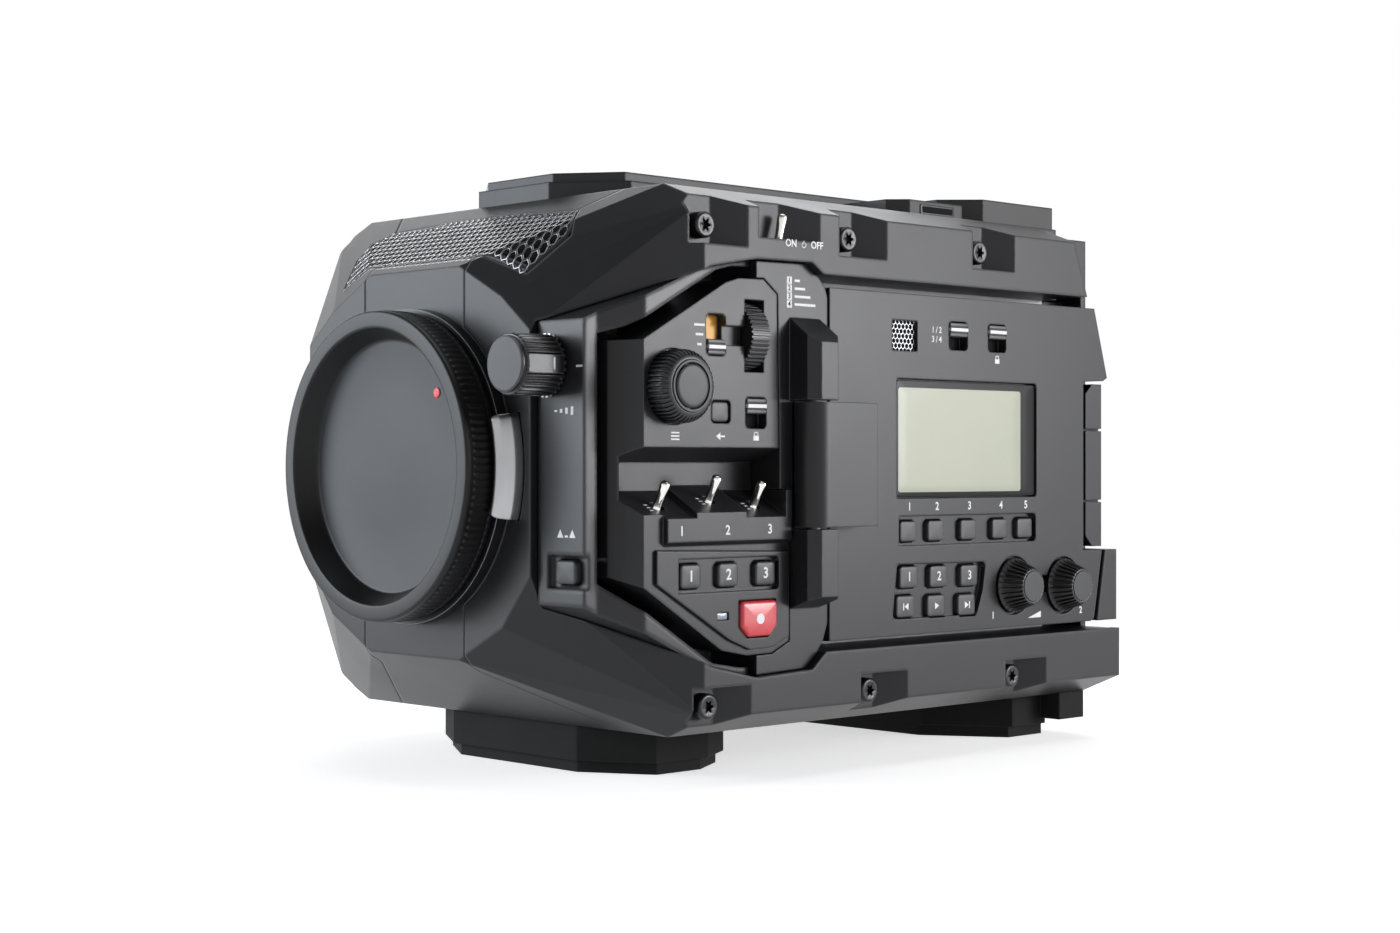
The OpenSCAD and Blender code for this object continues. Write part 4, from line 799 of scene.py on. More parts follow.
def text_shape(seat: Seat, words: str, size: float, x: float = 0.0, y: float = 0.0) -> Shape:
    """Numbers or a switch's word as a thin raised print.

    Args:
        seat: Plane of the print.
        words: What it says.
        size: Height of its capitals, in millimetres.
        x: Place of its middle along the plane's width.
        y: Place of its middle along the plane's height.

    Returns:
        The print's shape.
    """
    curve = bpy.data.curves.new("print", "FONT")
    curve.body, curve.align_x, curve.align_y = words, "CENTER", "CENTER"
    curve.size, curve.extrude, curve.offset = size / CAPITAL_SHARE, TEXT_HALF, size * TEXT_BOLD
    curve.resolution_u = 3
    item = add_object("print", curve)
    mesh = bpy.data.meshes.new_from_object(
        item.evaluated_get(bpy.context.evaluated_depsgraph_get()))
    flat = read(mesh.vertices, "co")
    faces = [tuple(polygon.vertices) for polygon in mesh.polygons]
    bpy.data.objects.remove(item)
    bpy.data.curves.remove(curve)
    bpy.data.meshes.remove(mesh)
    return Shape(seat.points(flat[:, 0] + x, flat[:, 1] + y, flat[:, 2] + TEXT_RISE), faces)


def prints(seat: Seat, *rows: Words) -> list[Shape]:
    """Several prints on one seat."""
    return [text_shape(seat, *row) for row in rows]


def sign(seat: Seat, *corners: Pair) -> Shape:
    """A thin printed sign with straight sides, given by its corners in millimetres."""
    return slab(seat, corners, *SIGN_LEVELS)


def bars(seat: Seat, *rows: Box) -> list[Shape]:
    """Thin printed bars, each given by its middle, its width and its height."""
    return [sign(seat, *box_corners((x - width / 2, x + width / 2, y - height / 2, y + height / 2)))
            for x, y, width, height in rows]


def padlock(seat: Seat, x: float, y: float) -> list[Shape]:
    """A printed padlock about the middle of its body: the body and its shackle's three sides."""
    return bars(seat, (x, y, 1.8, 1.2), (x - 0.6, y + 0.9, 0.3, 0.9), (x + 0.6, y + 0.9, 0.3, 0.9),
                (x, y + 1.3, 1.5, 0.3))


def corner_fills(face: float, *recesses: Recess) -> Shape:
    """Fillers that round the corners of recesses in a face on the operator's side.

    Each is the area between a corner and the arc that touches both its sides, extruded down.
    Corners that are almost straight get none.

    Args:
        face: Place of the face along X.
        *recesses: Corners of each recess, and the radius of its arcs.

    Returns:
        All fillers.
    """
    fills = []
    for corners, radius in recesses:
        for tip, arc, inward, half in zip(np.array(corners, float),
                                          *corner_arcs(corners, radius, 6)):
            if half <= NEARLY_STRAIGHT:
                edge = [tip - inward * FILL_OVERLAP, *arc]
                fills.append(slab(Seat.side(face), edge, -RECESS_DEPTH, -FILL_SINK).outward())
    return Shape.joined(fills)


class Maker:
    """Turns shapes into finished pieces and dresses CAD nodes."""

    def __init__(self) -> None:
        """Starts with no materials made."""
        self.materials: dict[str, bpy.types.Material] = {}

    def material(self, finish: Surface) -> bpy.types.Material:
        """The material of a finish, made once."""
        if finish.name not in self.materials:
            self.materials[finish.name] = finish.build()
        return self.materials[finish.name]

    def piece(self, name: str, shape: Shape, body: str, finish: Surface,
              replaces: Sequence[str] = (), sharp: float = 35.0) -> bpy.types.Object:
        """Makes an object of a shape and fixes it to a body.

        Args:
            name: The piece's name.
            shape: Its points and faces.
            body: The CAD body that it rides on.
            finish: Its finish.
            replaces: CAD nodes that it stands for.
            sharp: Angle in degrees over which an edge stays sharp.

        Returns:
            The object.
        """
        mesh = bpy.data.meshes.new(name)
        mesh.from_pydata(shape.points.tolist(), [], shape.faces)
        mesh.polygons.foreach_set("use_smooth", np.ones(len(mesh.polygons), dtype=bool))
        mesh.set_sharp_from_angle(angle=math.radians(sharp))
        mesh.materials.append(self.material(finish))
        item = add_object(name, mesh)
        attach(item, body)
        if replaces:
            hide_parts(*replaces)
        LOG.info("%s: %d faces on %s", name, len(mesh.polygons), body)
        return item

    def fixed(self, name: str, shape: Shape, finish: Surface) -> bpy.types.Object:
        """Makes a piece on the fixed body that stands for no node."""
        return self.piece(name, shape, "camera_body", finish)

    def own(self, name: str, shape: Shape, node: str, finish: Surface,
            sharp: float = 35.0) -> None:
        """Makes a piece that rides on a moving node's body and stands for that node."""
        self.piece(name, shape, node, finish, [node], sharp)

    def key(self, name: str, node: str, seat: Seat, form: Form) -> None:
        """Makes the cap of a rubber key on a seat at its upper edge."""
        self.own(name, soft_box(seat, *form), node, KEY)

    def sheet(self, name: str, shape: Shape, body: str, wire: float, offset: float) -> None:
        """Makes a wire mesh of a flat sheet, thickened to one side."""
        wall = self.piece(name, shape, body, MESH).modifiers.new("wall", "SOLIDIFY")
        wall.thickness, wall.offset = wire * MM, offset

    def dress(self, finish: Surface, *nodes: str) -> None:
        """Gives CAD nodes a finish without touching their meshes."""
        for node in nodes:
            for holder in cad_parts[node].material_slots:
                holder.material = self.material(finish)


def wave(angle: Array, count: int, sharpness: float) -> Array:
    """Depth of flutes round a grip, 0 on a rib and 1 in a groove: a steepened cosine."""
    return 1 / (1 + np.exp(sharpness * np.cos(count * angle)))


# Sub-assemblies ----------------------------------------


@dataclass
class Casings:
    """Outer casings, deck, feet and chassis, with their screws and the print on the upper rail."""

    rail_face: float = 72.0
    screw_floor: float = 66.4
    screw_r: float = 3.1
    screw_h: float = 3.0
    socket_r: float = 1.25
    screws: tuple[Pair, ...] = ((-18.97, 130.8), (29.64, 130.8), (80.13, 130.8),
                                (-18.03, 19.5), (37.36, 19.5), (93.5, 19.5))
    standby: Pair = (10.9, 127.9)
    standby_r: Pair = (0.55, 0.75)
    standby_arc: Pair = (-0.3 * math.pi, 1.6 * math.pi + 0.3)
    standby_turn: float = math.radians(128)
    standby_bar: Box = (10.9, 128.5, 0.2, 0.8)
    words: tuple[Words, ...] = (("ON", 1.7, 6.5, 128.0), ("OFF", 1.7, 15.4, 128.0))

    def screw_head(self, seat: Seat) -> Shape:
        """A round head with a star socket: the socket's rings swell and shrink six times round."""
        r, top, socket = self.screw_r, self.screw_h, self.socket_r
        profile = [(r, 0.05), (r, top - 0.6), (r - 0.15, top - 0.25), (r - 0.5, top - 0.02),
                   (r - 0.8, top), (1.75, top - 0.05), (socket, top - 0.12),
                   (socket - 0.1, top - 0.3), (socket - 0.12, top - 1.5), (0.2, top - 1.5)]

        def star(radius: Array, height: Array, angle: Array) -> tuple[Array, Array]:
            """Adds six lobes to the rings of the socket."""
            lobes = 0.3 * ((radius > 1.0) & (radius < 1.3))
            return radius + lobes * np.cos(6 * angle), height

        return lathe(seat, profile, 72, star)

    def power_print(self) -> Shape:
        """ON, OFF and the standby sign between them: an open ring with a bar at its top."""
        seat = Seat.side(self.rail_face)
        angle = np.linspace(*self.standby_arc, 15)[:-1] + self.standby_turn
        inner, outer = (np.array(self.standby) + radius * circle(angle)
                        for radius in self.standby_r)
        ring = [sign(seat, *corners) for corners in zip(inner, outer, outer[1:], inner[1:])]
        return Shape.joined([*prints(seat, *self.words), *bars(seat, self.standby_bar), *ring])

    def build(self, maker: Maker) -> None:
        """Dresses the casings and adds their small pieces."""
        maker.dress(CASING, "centre_shell", "left_shell", "right_shell", "rear_panel")
        maker.dress(DECK, "top_plate", "audio_block")
        maker.dress(FOOT, "front_foot", "rear_foot")
        maker.dress(CHASSIS, "chassis_frame", "nd_filter_wheel", "hinge_pin")
        maker.dress(BOARD, "main_board")
        maker.dress(NYLON, "nd_idler_gear")
        maker.dress(DARK, "cooling_fan")
        maker.dress(TOUCH, "image_sensor")
        heads = [self.screw_head(Seat.on((way * self.screw_floor, *middle), facing))
                 for facing, way in BOTH_SIDES for middle in self.screws]
        maker.piece("screw_heads", Shape.joined(heads), "camera_body", SCREW,
                    ["casing_screws"])
        maker.fixed("print_power", self.power_print(), PRINT)


@dataclass
class Deck:
    """The dark inserts in both sides of the low block beside the raised plate."""

    side: float = 50.0
    middle: Pair = (85.5, 143.7)
    rim: Form = (14.0, 2.9, 0.5, 0.5, 0.2)
    plate: Form = (12.4, 1.7, 0.3, 0.4, 0.15)

    def inserts(self, rise: float, form: Form) -> Shape:
        """A soft box on each side, its top at a rise over the block's side."""
        return Shape.joined(soft_box(Seat.on((way * (self.side + rise), *self.middle), facing),
                                     *form)
                            for facing, way in BOTH_SIDES)

    def build(self, maker: Maker) -> None:
        """Builds the inserts."""
        maker.fixed("deck_insert_rims", self.inserts(0.25, self.rim), PANEL)
        maker.fixed("deck_inserts", self.inserts(0.4, self.plate), DARK)


@dataclass
class Microphones:
    """The perforated grille that lies over the slopes of the front's top."""

    body_front: float = 51.0
    shoulder: float = 22.0
    half: float = 44.0
    plan: tuple[Pair, ...] = ((0.42, 0.12), (0.84, 0.19), (0.97, 0.48), (0.84, 0.72), (0.3, 0.78))
    rim: float = 0.9
    pitch: float = 2.3
    hole: float = 0.8
    wire: float = 0.22
    floor: float = 1.45
    floor_cells: Pair = (2.2, 0.02)
    corner_r: float = 2.5
    bevel: float = 0.12

    def outline(self) -> Array:
        """The grille's plan in X and Y, with rounded corners."""
        side = [(x * self.half, -self.body_front + y * (self.body_front - self.shoulder))
                for x, y in self.plan]
        return rounded([*side, *[(-x, y) for x, y in reversed(side)]], self.corner_r)

    def slopes(self) -> Array:
        """Planes of the CAD grille's upper faces: rows a, b, c of z = a x + b y + c, in metres."""
        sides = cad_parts["mic_grille"].data.polygons
        normal, centre = read(sides, "normal"), read(sides, "center")
        upper = (normal[:, 2] > 0.2) & (read(sides, "area", 1)[:, 0] > 2e-7)
        normal, centre = normal[upper], centre[upper]
        a, b = -normal[:, 0] / normal[:, 2], -normal[:, 1] / normal[:, 2]
        planes = np.stack([a, b, centre[:, 2] - a * centre[:, 0] - b * centre[:, 1]], axis=1)
        return np.unique(np.round(planes, 5), axis=0)

    def lay(self, flat: Array, drop: float) -> Array:
        """Lays plan points on the slopes: the height is the lowest of the planes at each point.

        Args:
            flat: Plan points in millimetres.
            drop: Distance below the slopes, in millimetres.

        Returns:
            Points in metres.
        """
        planes = self.slopes()
        x, y = flat[:, 0] * MM, flat[:, 1] * MM
        height = (planes[:, :1] * x + planes[:, 1:2] * y + planes[:, 2:]).min(axis=0)
        return np.stack([x, y, height - drop * MM], axis=1)

    def build(self, maker: Maker) -> None:
        """Builds the rim, the perforated sheet and the dark floor under it."""
        outline = self.outline()
        ahead = (np.roll(outline, -1, axis=0) - outline)[:, None, :]
        dense = (outline[:, None, :] + ahead * np.linspace(0, 1, 7)[:-1, None]).reshape(-1, 2)
        rows = [(0.0, self.floor), (0.0, self.bevel), (self.bevel, 0.0), (self.rim - 0.15, 0.0),
                (self.rim, 0.15), (self.rim, self.floor)]
        ring = np.concatenate([self.lay(inset(dense, away), drop) for away, drop in rows])
        faces = ring_faces(len(rows), len(dense))[:-2]
        maker.piece("mic_rim", Shape(ring, faces), "camera_body", CASING,
                    ["mic_grille"])
        flat, cells = honeycomb(inset(outline, 0.4), self.pitch, self.hole)
        maker.sheet("mic_mesh", Shape(self.lay(flat, self.wire), cells), "camera_body", self.wire,
                    1.0)
        flat, cells = honeycomb(inset(outline, 0.2), *self.floor_cells)
        maker.fixed("mic_floor", Shape(self.lay(flat, self.floor), cells), DARK)


@dataclass
class LensEnd:
    """Lens mount, release lever and the cap with its ribbed grip."""

    axis_z: float = 75.0
    seat_y: float = -54.3
    grip_r: float = 37.45
    length: float = 9.2
    dish: float = 5.5
    ridges: int = 132
    ridge_depth: float = 0.28
    lug_r: Pair = (24.0, 26.6)
    lug_w: Pair = (-3.4, -2.3)
    lug_middles: tuple[float, ...] = (90.0, 210.0, 330.0)
    lug_half: float = 24.0
    lever_r: Pair = (38.5, 42.4)
    lever_w: Pair = (2.5, -5.8)
    lever_half: float = 17.0
    dot: Pair = (18.8, 92.3)

    def seat(self) -> Seat:
        """The mount's axis, at the plane that the cap stands on."""
        return Seat.on((0.0, self.seat_y, self.axis_z), Facing.FRONT)

    def cap(self) -> Shape:
        """The cap: a turned profile whose side has fine ridges and finer teeth behind them."""
        r, top, floor = self.grip_r, self.length, self.length - self.dish
        profile = [(24.9, -3.4), (25.0, -3.2), (25.0, 0.0), (36.6, 0.0), (36.95, 0.12),
                   (37.1, 0.35), (37.1, 1.25), (37.0, 1.3), (36.95, 1.45), (37.15, 1.6),
                   (37.2, 1.75), (37.2, 2.1), (r, 2.35), (r, 2.5), (r, 3.6), (r, 4.8), (r, 6.4),
                   (r, 6.9), (37.25, 7.15), (37.3, 7.4), (37.3, top - 0.7), (37.22, top - 0.38),
                   (37.0, top - 0.14), (36.7, top - 0.02), (36.4, top), (33.7, top),
                   (33.45, top - 0.03), (33.2, top - 0.2), (33.05, top - 0.55), (30.9, floor + 0.7),
                   (30.7, floor + 0.3), (30.35, floor + 0.06), (30.0, floor), (15.0, floor),
                   (1.0, floor)]

        def grip(radius: Array, height: Array, angle: Array) -> tuple[Array, Array]:
            """Cuts the ridges into the grip's rings and small teeth into the rear rings."""
            middle = (height > 2.3) & (height < 7.0) & (radius > 37.3)
            rear = (height > 0.3) & (height < 1.3) & (radius > 37.05)
            cut = self.ridge_depth * wave(angle, self.ridges, 5.0)
            teeth = 0.12 * wave(angle, self.ridges, 3.0)
            return radius - middle * cut - rear * teeth, height

        return lathe(self.seat(), profile, self.ridges * 6, grip)

    def lug(self, middle: float) -> Shape:
        """A lug behind the cap, about an angle in degrees: a sector of a ring."""
        edge = circle(np.radians(np.linspace(middle - self.lug_half, middle + self.lug_half, 13)))
        return slab(self.seat(), [*edge * self.lug_r[1], *edge[::-1] * self.lug_r[0]], *self.lug_w)

    def lever(self) -> Shape:
        """The release lever: a crowned section swept round the mount, drawn in at both ends."""
        low, high = self.lever_r
        front, back = self.lever_w
        section = rounded([(low, back), (high - 1.0, back), (high, back + 2.2),
                           (high - 0.25, front - 3.4), (high - 1.5, front - 0.9),
                           (high - 3.0, front), (low, front)], 1.3, 4)
        middle = section.mean(axis=0)
        half = self.lever_half
        angle = np.radians([-half, *np.linspace(0.5 - half, half - 0.5, 25), half])[:, None, None]
        share = np.where(np.abs(np.degrees(angle)) > half - 0.2, 0.9, 1.0)
        radius, height = np.moveaxis(middle + (section - middle) * share, -1, 0)
        way = angle[..., 0]
        points = self.seat().points(radius * np.cos(way), radius * np.sin(way), height)
        return Shape(points, ring_faces(len(angle), len(section))).outward()

    def build(self, maker: Maker) -> None:
        """Dresses the mount and builds the lever and the cap with its index dot."""
        maker.dress(MOUNT, "lens_mount")
        maker.own("release_lever", self.lever(), "lens_release", RELEASE, 50.0)
        cap = Shape.joined([self.cap(), *map(self.lug, self.lug_middles)])
        maker.own("cap", cap, "body_cap", CAP, 50.0)
        dish_y = self.seat_y - self.length + self.dish
        dot = Seat.on((self.dot[0], dish_y - 0.25, self.dot[1]), Facing.FRONT)
        profile = [(1.25, -0.4), (1.25, -0.1), (1.15, -0.02), (0.8, 0.02), (0.1, 0.03)]
        maker.piece("cap_dot", lathe(dot, profile, 32), "body_cap", MARKER_RED)


@dataclass
class FilterControls:
    """The filter knob, the strip that it stands on, and the white balance key."""

    axis: Pair = (49.0, 98.0)
    back_y: float = -50.0
    grip_r: float = 7.3
    land_r: float = 6.95
    land_half: float = 17.0
    length: float = 12.0
    flutes: int = 5
    number_y: float = -53.2
    strip_y: float = -49.0
    key: Pair = (55.0, 51.1)
    key_rise: float = 0.3
    key_form: Form = (7.0, 5.4, 1.1, 3.8, 0.55, 0.12)

    def seat(self) -> Seat:
        """The knob's axis, at its back."""
        return Seat.on((self.axis[0], self.back_y, self.axis[1]), Facing.FRONT)

    def knob(self) -> Shape:
        """The knob's head: four flat lands, and five flutes in each quarter between them."""
        r, top = self.grip_r, self.length
        profile = [(1.8, 0.0), (6.5, 0.0), (6.9, 0.15), (r, 0.6), (r, 1.0), (r, 3.0), (r, 6.0),
                   (r, 9.0), (r, 10.1), (7.15, 10.5), (6.8, 10.8), (6.45, 10.85), (6.35, 10.95),
                   (6.35, 11.1), (6.4, 11.2), (6.4, top - 0.3), (6.3, top - 0.12), (6.0, top - 0.1),
                   (3.0, top - 0.1), (0.4, top - 0.1)]

        def flute(radius: Array, height: Array, angle: Array) -> tuple[Array, Array]:
            """Flattens the lands and cuts the flutes in the rings of the grip."""
            turn = (angle + math.pi / 4) % (math.pi / 2) - math.pi / 4
            land = np.minimum(radius, self.land_r / np.cos(turn))
            fluted = math.radians(45 - self.land_half) / (self.flutes / 2)
            share = (np.abs(turn) - math.radians(self.land_half)) / fluted
            cut = 0.62 * wave((share - 0.5) * 2 * math.pi, 1, 4.5) * (share > 0)
            grip = (radius > 7.1) & (height > 0.5) & (height < 10.6)
            return np.where(grip, np.minimum(radius - cut, land), radius), height

        return lathe(self.seat(), profile, 288, flute)

    def face(self) -> Shape:
        """The pale disc in the knob's end."""
        top = self.length
        return lathe(self.seat(), [(6.25, top - 0.3), (6.25, top - 0.12), (6.1, top - 0.01),
                                   (5.8, top), (0.4, top)], 96)

    def train(self) -> Shape:
        """The CAD knob's spindle and gear behind its head, copied with their points merged."""
        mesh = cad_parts["nd_knob"].data
        points = read(mesh.vertices, "co")
        first, back = groups(points * 1e6)
        faces = back[read(mesh.polygons, "vertices", 3, int)]
        merged = points[first]
        kept = merged[faces][:, :, 1].min(axis=1) > (self.back_y - 1.5) * MM
        return Shape(merged, list(map(tuple, faces[kept].tolist())))

    def numerals(self) -> Shape:
        """The numbers 1 to 4, one on each land, turned about the knob's axis."""
        seat = Seat.side(self.axis[0] + self.land_r, self.number_y, self.axis[1])
        middle = self.seat().origin
        return Shape.joined(
            text_shape(seat, str(number + 1), 2.6).turned(middle, 1, number * math.pi / 2)
            for number in range(4))

    def marks(self) -> Shape:
        """The knob's index, a row of growing bars, and two arrowheads with a dash over the key."""
        strip = Seat.on((0.0, self.strip_y, 0.0), Facing.FRONT)
        steps = [(51.4 + 1.9 * step, 87.6, 0.9, 0.4 + 0.5 * step) for step in range(4)]
        heads = [sign(strip, (x, 58.9), (x + 2.2, 58.9), (x + 1.1, 60.8)) for x in (51.9, 56.1)]
        return Shape.joined([*bars(strip, (59.6, 97.6, 2.2, 0.5), *steps), *heads,
                             *bars(strip, (55.1, 59.2, 1.1, 0.5))])

    def build(self, maker: Maker) -> None:
        """Builds the knob, its numbers, the index, the signs on the strip and the key."""
        maker.own("filter_knob", self.knob(), "nd_knob", FLUTES, 32.0)
        maker.piece("filter_knob_face", self.face(), "nd_knob", DISC)
        maker.piece("filter_knob_train", self.train(), "nd_knob", STEEL)
        maker.piece("filter_numbers", self.numerals(), "nd_knob", PRINT)
        maker.fixed("strip_marks", self.marks(), PRINT)
        seat = Seat.on((self.key[0], self.strip_y - self.key_rise, self.key[1]), Facing.FRONT)
        maker.key("balance_key", "white_balance_button", seat, self.key_form)


@dataclass
class Slide:
    """A slide switch: its lever with a white stripe, and the coloured floor that it uncovers."""

    node: str
    face: float
    middle: Pair
    width: float
    slot: tuple[float, float, float]
    floor: Finish
    split: float
    height: float = 3.6

    def lever(self) -> Shape:
        """The lever: a section with three ribs, run along the camera and rounded at both ends."""
        half = self.height / 2
        section = [(-half, -2.72), (half, -2.72), (half, -0.2), (half - 0.15, 0.3), (0.95, 0.35),
                   (0.75, -0.05), (0.6, 0.5), (0.3, 0.58), (-0.3, 0.58), (-0.6, 0.5),
                   (-0.75, -0.05), (-0.95, 0.35), (0.15 - half, 0.3), (-half, -0.2)]
        seat = Seat.on((self.face, self.middle[0] + self.width / 2, self.middle[1]), Facing.ACROSS)
        outline = rounded([(z, x) for z, x in reversed(section)], 0.12, 2)[::-1]
        return soft_block(seat, outline, self.width, fillet=0.2)

    def build(self, maker: Maker, body: str) -> None:
        """Builds the lever and the floor of its slot."""
        plastic = StripeFinish(f"{self.node}_plastic", (0.07, 0.07, 0.075), (0.1, 0.1, 0.105), 0.42,
                               grain=0.25, depth=0.006, edge=0.15, edge_colour=(0.3, 0.3, 0.3),
                               middle=self.middle[1])
        maker.own(self.node + "_lever", self.lever(), self.node, plastic)
        low, high, width = self.slot
        for name, finish, start, end in (("_floor", self.floor, self.split, high),
                                         ("_shade", DARK, low, self.split)):
            if end > start:
                seat = Seat.side(self.face - SLOT_DEPTH, self.middle[0], (start + end) / 2)
                block = soft_box(seat, width, end - start, 0.2, 0.03, 0.01)
                maker.piece(self.node + name, block, body, finish)


@dataclass
class Toggle:
    """A chrome toggle lever on a ball, along an axis."""

    node: str
    pivot: Point
    axis: Point
    profile: tuple[Pair, ...] = (
        (0.2, -1.59), (0.9, -1.32), (1.4, -0.78), (1.6, 0.0), (1.5, 0.6), (1.3, 1.0), (1.12, 1.3),
        (1.0, 1.8), (0.98, 2.6), (1.02, 4.2), (1.12, 5.6), (1.21, 6.8), (1.18, 7.3), (1.0, 7.7),
        (0.62, 7.93), (0.1, 8.0))

    def build(self, maker: Maker) -> None:
        """Turns the lever round its axis."""
        shape = lathe(Seat.along(self.pivot, self.axis), self.profile, 40)
        maker.own(self.node + "_lever", shape, self.node, CHROME, 60.0)


@dataclass
class ControlPanel:
    """The upper control panel: dial, keys, slides, thumb wheel, toggles and their marks."""

    face: float = 69.5
    dial: Pair = (-29.181, 93.181)
    dial_r: float = 8.4
    ribs: int = 44
    back_key: Pair = (-14.282, 87.694)
    back_form: Form = (5.7, 4.8, 1.2, 3.0, 0.45, 0.1)
    toggle_x: float = 65.508
    toggles: tuple[tuple[str, float, float], ...] = (
        ("gain_toggle", -31.484, 64.659), ("shutter_toggle", -15.222, 65.959),
        ("white_balance_toggle", -0.417, 64.659))
    shelf_tilt: float = math.atan2(5.4, 9.5)
    tick_x: float = 66.6
    tick_shift: Pair = (-2.9, 0.991)
    power_pivot: Point = (69.0, 4.8, 127.4)
    power_tilt: float = math.radians(14)
    lip_face: float = 71.1
    numbers: tuple[Words, ...] = (("1", 2.2, -28.2, 60.2), ("2", 2.2, -13.6, 60.2),
                                  ("3", 2.2, 0.3, 60.2))
    level_marks: tuple[Box, ...] = ((-21.2, 107.6, 3.4, 0.55), (-21.2, 105.4, 2.4, 0.55),
                                    (-21.2, 103.1, 1.4, 0.55))
    arrow: tuple[Pair, ...] = ((-15.9, 82.0), (-14.5, 82.9), (-14.5, 81.1))
    arrow_bar: Box = (-13.8, 82.0, 1.5, 0.4)
    slides: tuple[Slide, ...] = (
        Slide("lock_switch", 69.5, (-2.81, 89.21), 6.3, (84.1, 91.1, 6.6), MARKER_RED, 88.0),
        Slide("level_switch", 69.5, (-15.88, 102.68), 5.6, (100.8, 110.2, 5.8), ORANGE, 100.8))
    recesses: tuple[Recess, ...] = ((box_corners((-6.31, 0.69, 83.9, 91.3)), 1.3),
                                    (box_corners((-19.03, -12.73, 100.58, 110.38)), 1.6))

    def menu_dial(self) -> Shape:
        """The dial: a turned profile, ribbed on its side, with a ring round the key's recess."""
        r = self.dial_r
        profile = [(0.3, -11.4), (2.4, -11.4), (2.4, -1.1), (7.5, -1.1), (8.0, -1.0), (8.2, -0.8),
                   (r, -0.4), (r, 1.0), (r, 2.8), (r, 3.7), (8.25, 4.3), (7.9, 4.9), (7.4, 5.45),
                   (6.95, 5.75), (6.6, 5.88), (6.3, 5.95), (6.1, 5.97), (6.0, 5.9), (5.95, 5.6),
                   (5.6, 5.55), (5.35, 5.5), (5.25, 5.45), (5.18, 5.3), (5.15, 4.5), (1.4, 4.45),
                   (1.3, 4.2), (1.25, 0.2), (0.3, 0.15)]

        def ribs(radius: Array, height: Array, angle: Array) -> tuple[Array, Array]:
            """Cuts the grip's ribs, shallower toward the top."""
            side = np.clip((radius - 6.9) / 0.6, 0, 1) * (height > -0.9)
            return radius - 0.7 * side * wave(angle, self.ribs, 5.0), height

        return lathe(Seat.side(self.face, *self.dial), profile, self.ribs * 6, ribs)

    def menu_key(self) -> Shape:
        """The flat key in the middle of the dial, on its stem."""
        profile = [(0.2, 1.15), (1.2, 1.15), (1.2, 5.36), (4.85, 5.36), (4.98, 5.5), (4.98, 6.1),
                   (4.86, 6.3), (4.6, 6.42), (4.2, 6.46), (2.0, 6.44), (0.2, 6.43)]
        return lathe(Seat.side(self.face, *self.dial), profile, 64)

    def menu_ring(self) -> Shape:
        """The thin pale ring that stands round the key in the dial's top."""
        profile = [(5.9, 5.6), (5.9, 6.18), (5.85, 6.24), (5.4, 6.24), (5.35, 6.18), (5.35, 5.6)]
        return lathe(Seat.side(self.face, *self.dial), profile, 72).open()

    def marks(self) -> Shape:
        """White marks: bars by the level switch, signs under dial, key and lock, and numbers."""
        seat = Seat.side(self.face)
        lines = [(-28.8, 82.7 - 0.75 * step, 2.6, 0.35) for step in range(3)]
        return Shape.joined([*bars(seat, *self.level_marks, *lines), sign(seat, *self.arrow),
                             *bars(seat, self.arrow_bar), *padlock(seat, -2.8, 81.7),
                             *prints(Seat.side(self.lip_face), *self.numbers)])

    def ticks(self) -> Shape:
        """Three white ticks on the shelf's slope to the left of each toggle."""
        rise, run = math.sin(self.shelf_tilt), math.cos(self.shelf_tilt)
        shapes = []
        for _, y, z in self.toggles:
            origin = (self.tick_x, y + self.tick_shift[0], z + self.tick_shift[1])
            seat = Seat(origin, ((0.0, 1.0, 0.0), (-run, 0.0, rise), (rise, 0.0, run)))
            shapes += bars(seat, *[(0.0, 1.25 * (row - 1), 1.1, 0.35) for row in range(3)])
        return Shape.joined(shapes)

    def build(self, maker: Maker) -> None:
        """Dresses the panel and builds everything on it."""
        maker.dress(PANEL, "control_panel", "hinge_cover")
        maker.dress(FRAME, "control_frame")
        maker.dress(KNOB, "level_wheel")
        maker.own("menu_dial_grip", self.menu_dial(), "menu_dial", FLUTES)
        maker.own("menu_key", self.menu_key(), "menu_button", DISC)
        maker.piece("menu_ring", self.menu_ring(), "menu_dial", DISC)
        maker.key("back_key", "back_button", Seat.side(self.face - KEY_SINK, *self.back_key),
                  self.back_form)
        for slide in self.slides:
            slide.build(maker, "camera_body")
        axis = (math.sin(self.shelf_tilt), 0.0, math.cos(self.shelf_tilt))
        for node, y, z in self.toggles:
            Toggle(node, (self.toggle_x, y, z), axis).build(maker)
        axis = (0.0, math.sin(self.power_tilt), math.cos(self.power_tilt))
        Toggle("power_toggle", self.power_pivot, axis).build(maker)
        maker.fixed("panel_corners", corner_fills(self.face, *self.recesses), PANEL)
        maker.fixed("panel_marks", self.marks(), PRINT)
        maker.fixed("shelf_ticks", self.ticks(), PRINT)


@dataclass
class FilterList:
    """The list of filter numbers on the hinge cover: a pale box with its number, and a bar."""

    face: float = 69.65
    print_rise: float = 0.03
    middle: float = 8.3
    rows: tuple[float, ...] = (119.5, 117.6, 115.7, 113.8)

    def build(self, maker: Maker) -> None:
        """Prints the four rows."""
        rows = list(enumerate(self.rows, 1))
        boxes = [(self.middle, z, 1.7, 1.75) for z in self.rows]
        lines = [(10.1 + 0.9 * row, z, 1.8 * row, 0.6) for row, z in rows]
        seat = Seat.side(self.face + self.print_rise)
        numbers = prints(seat, *[(str(row), 1.25, self.middle, z) for row, z in rows])
        maker.fixed("filter_list", Shape.joined(bars(Seat.side(self.face), *boxes, *lines)),
                    PRINT)
        maker.fixed("filter_list_numbers", Shape.joined(numbers), DARK)


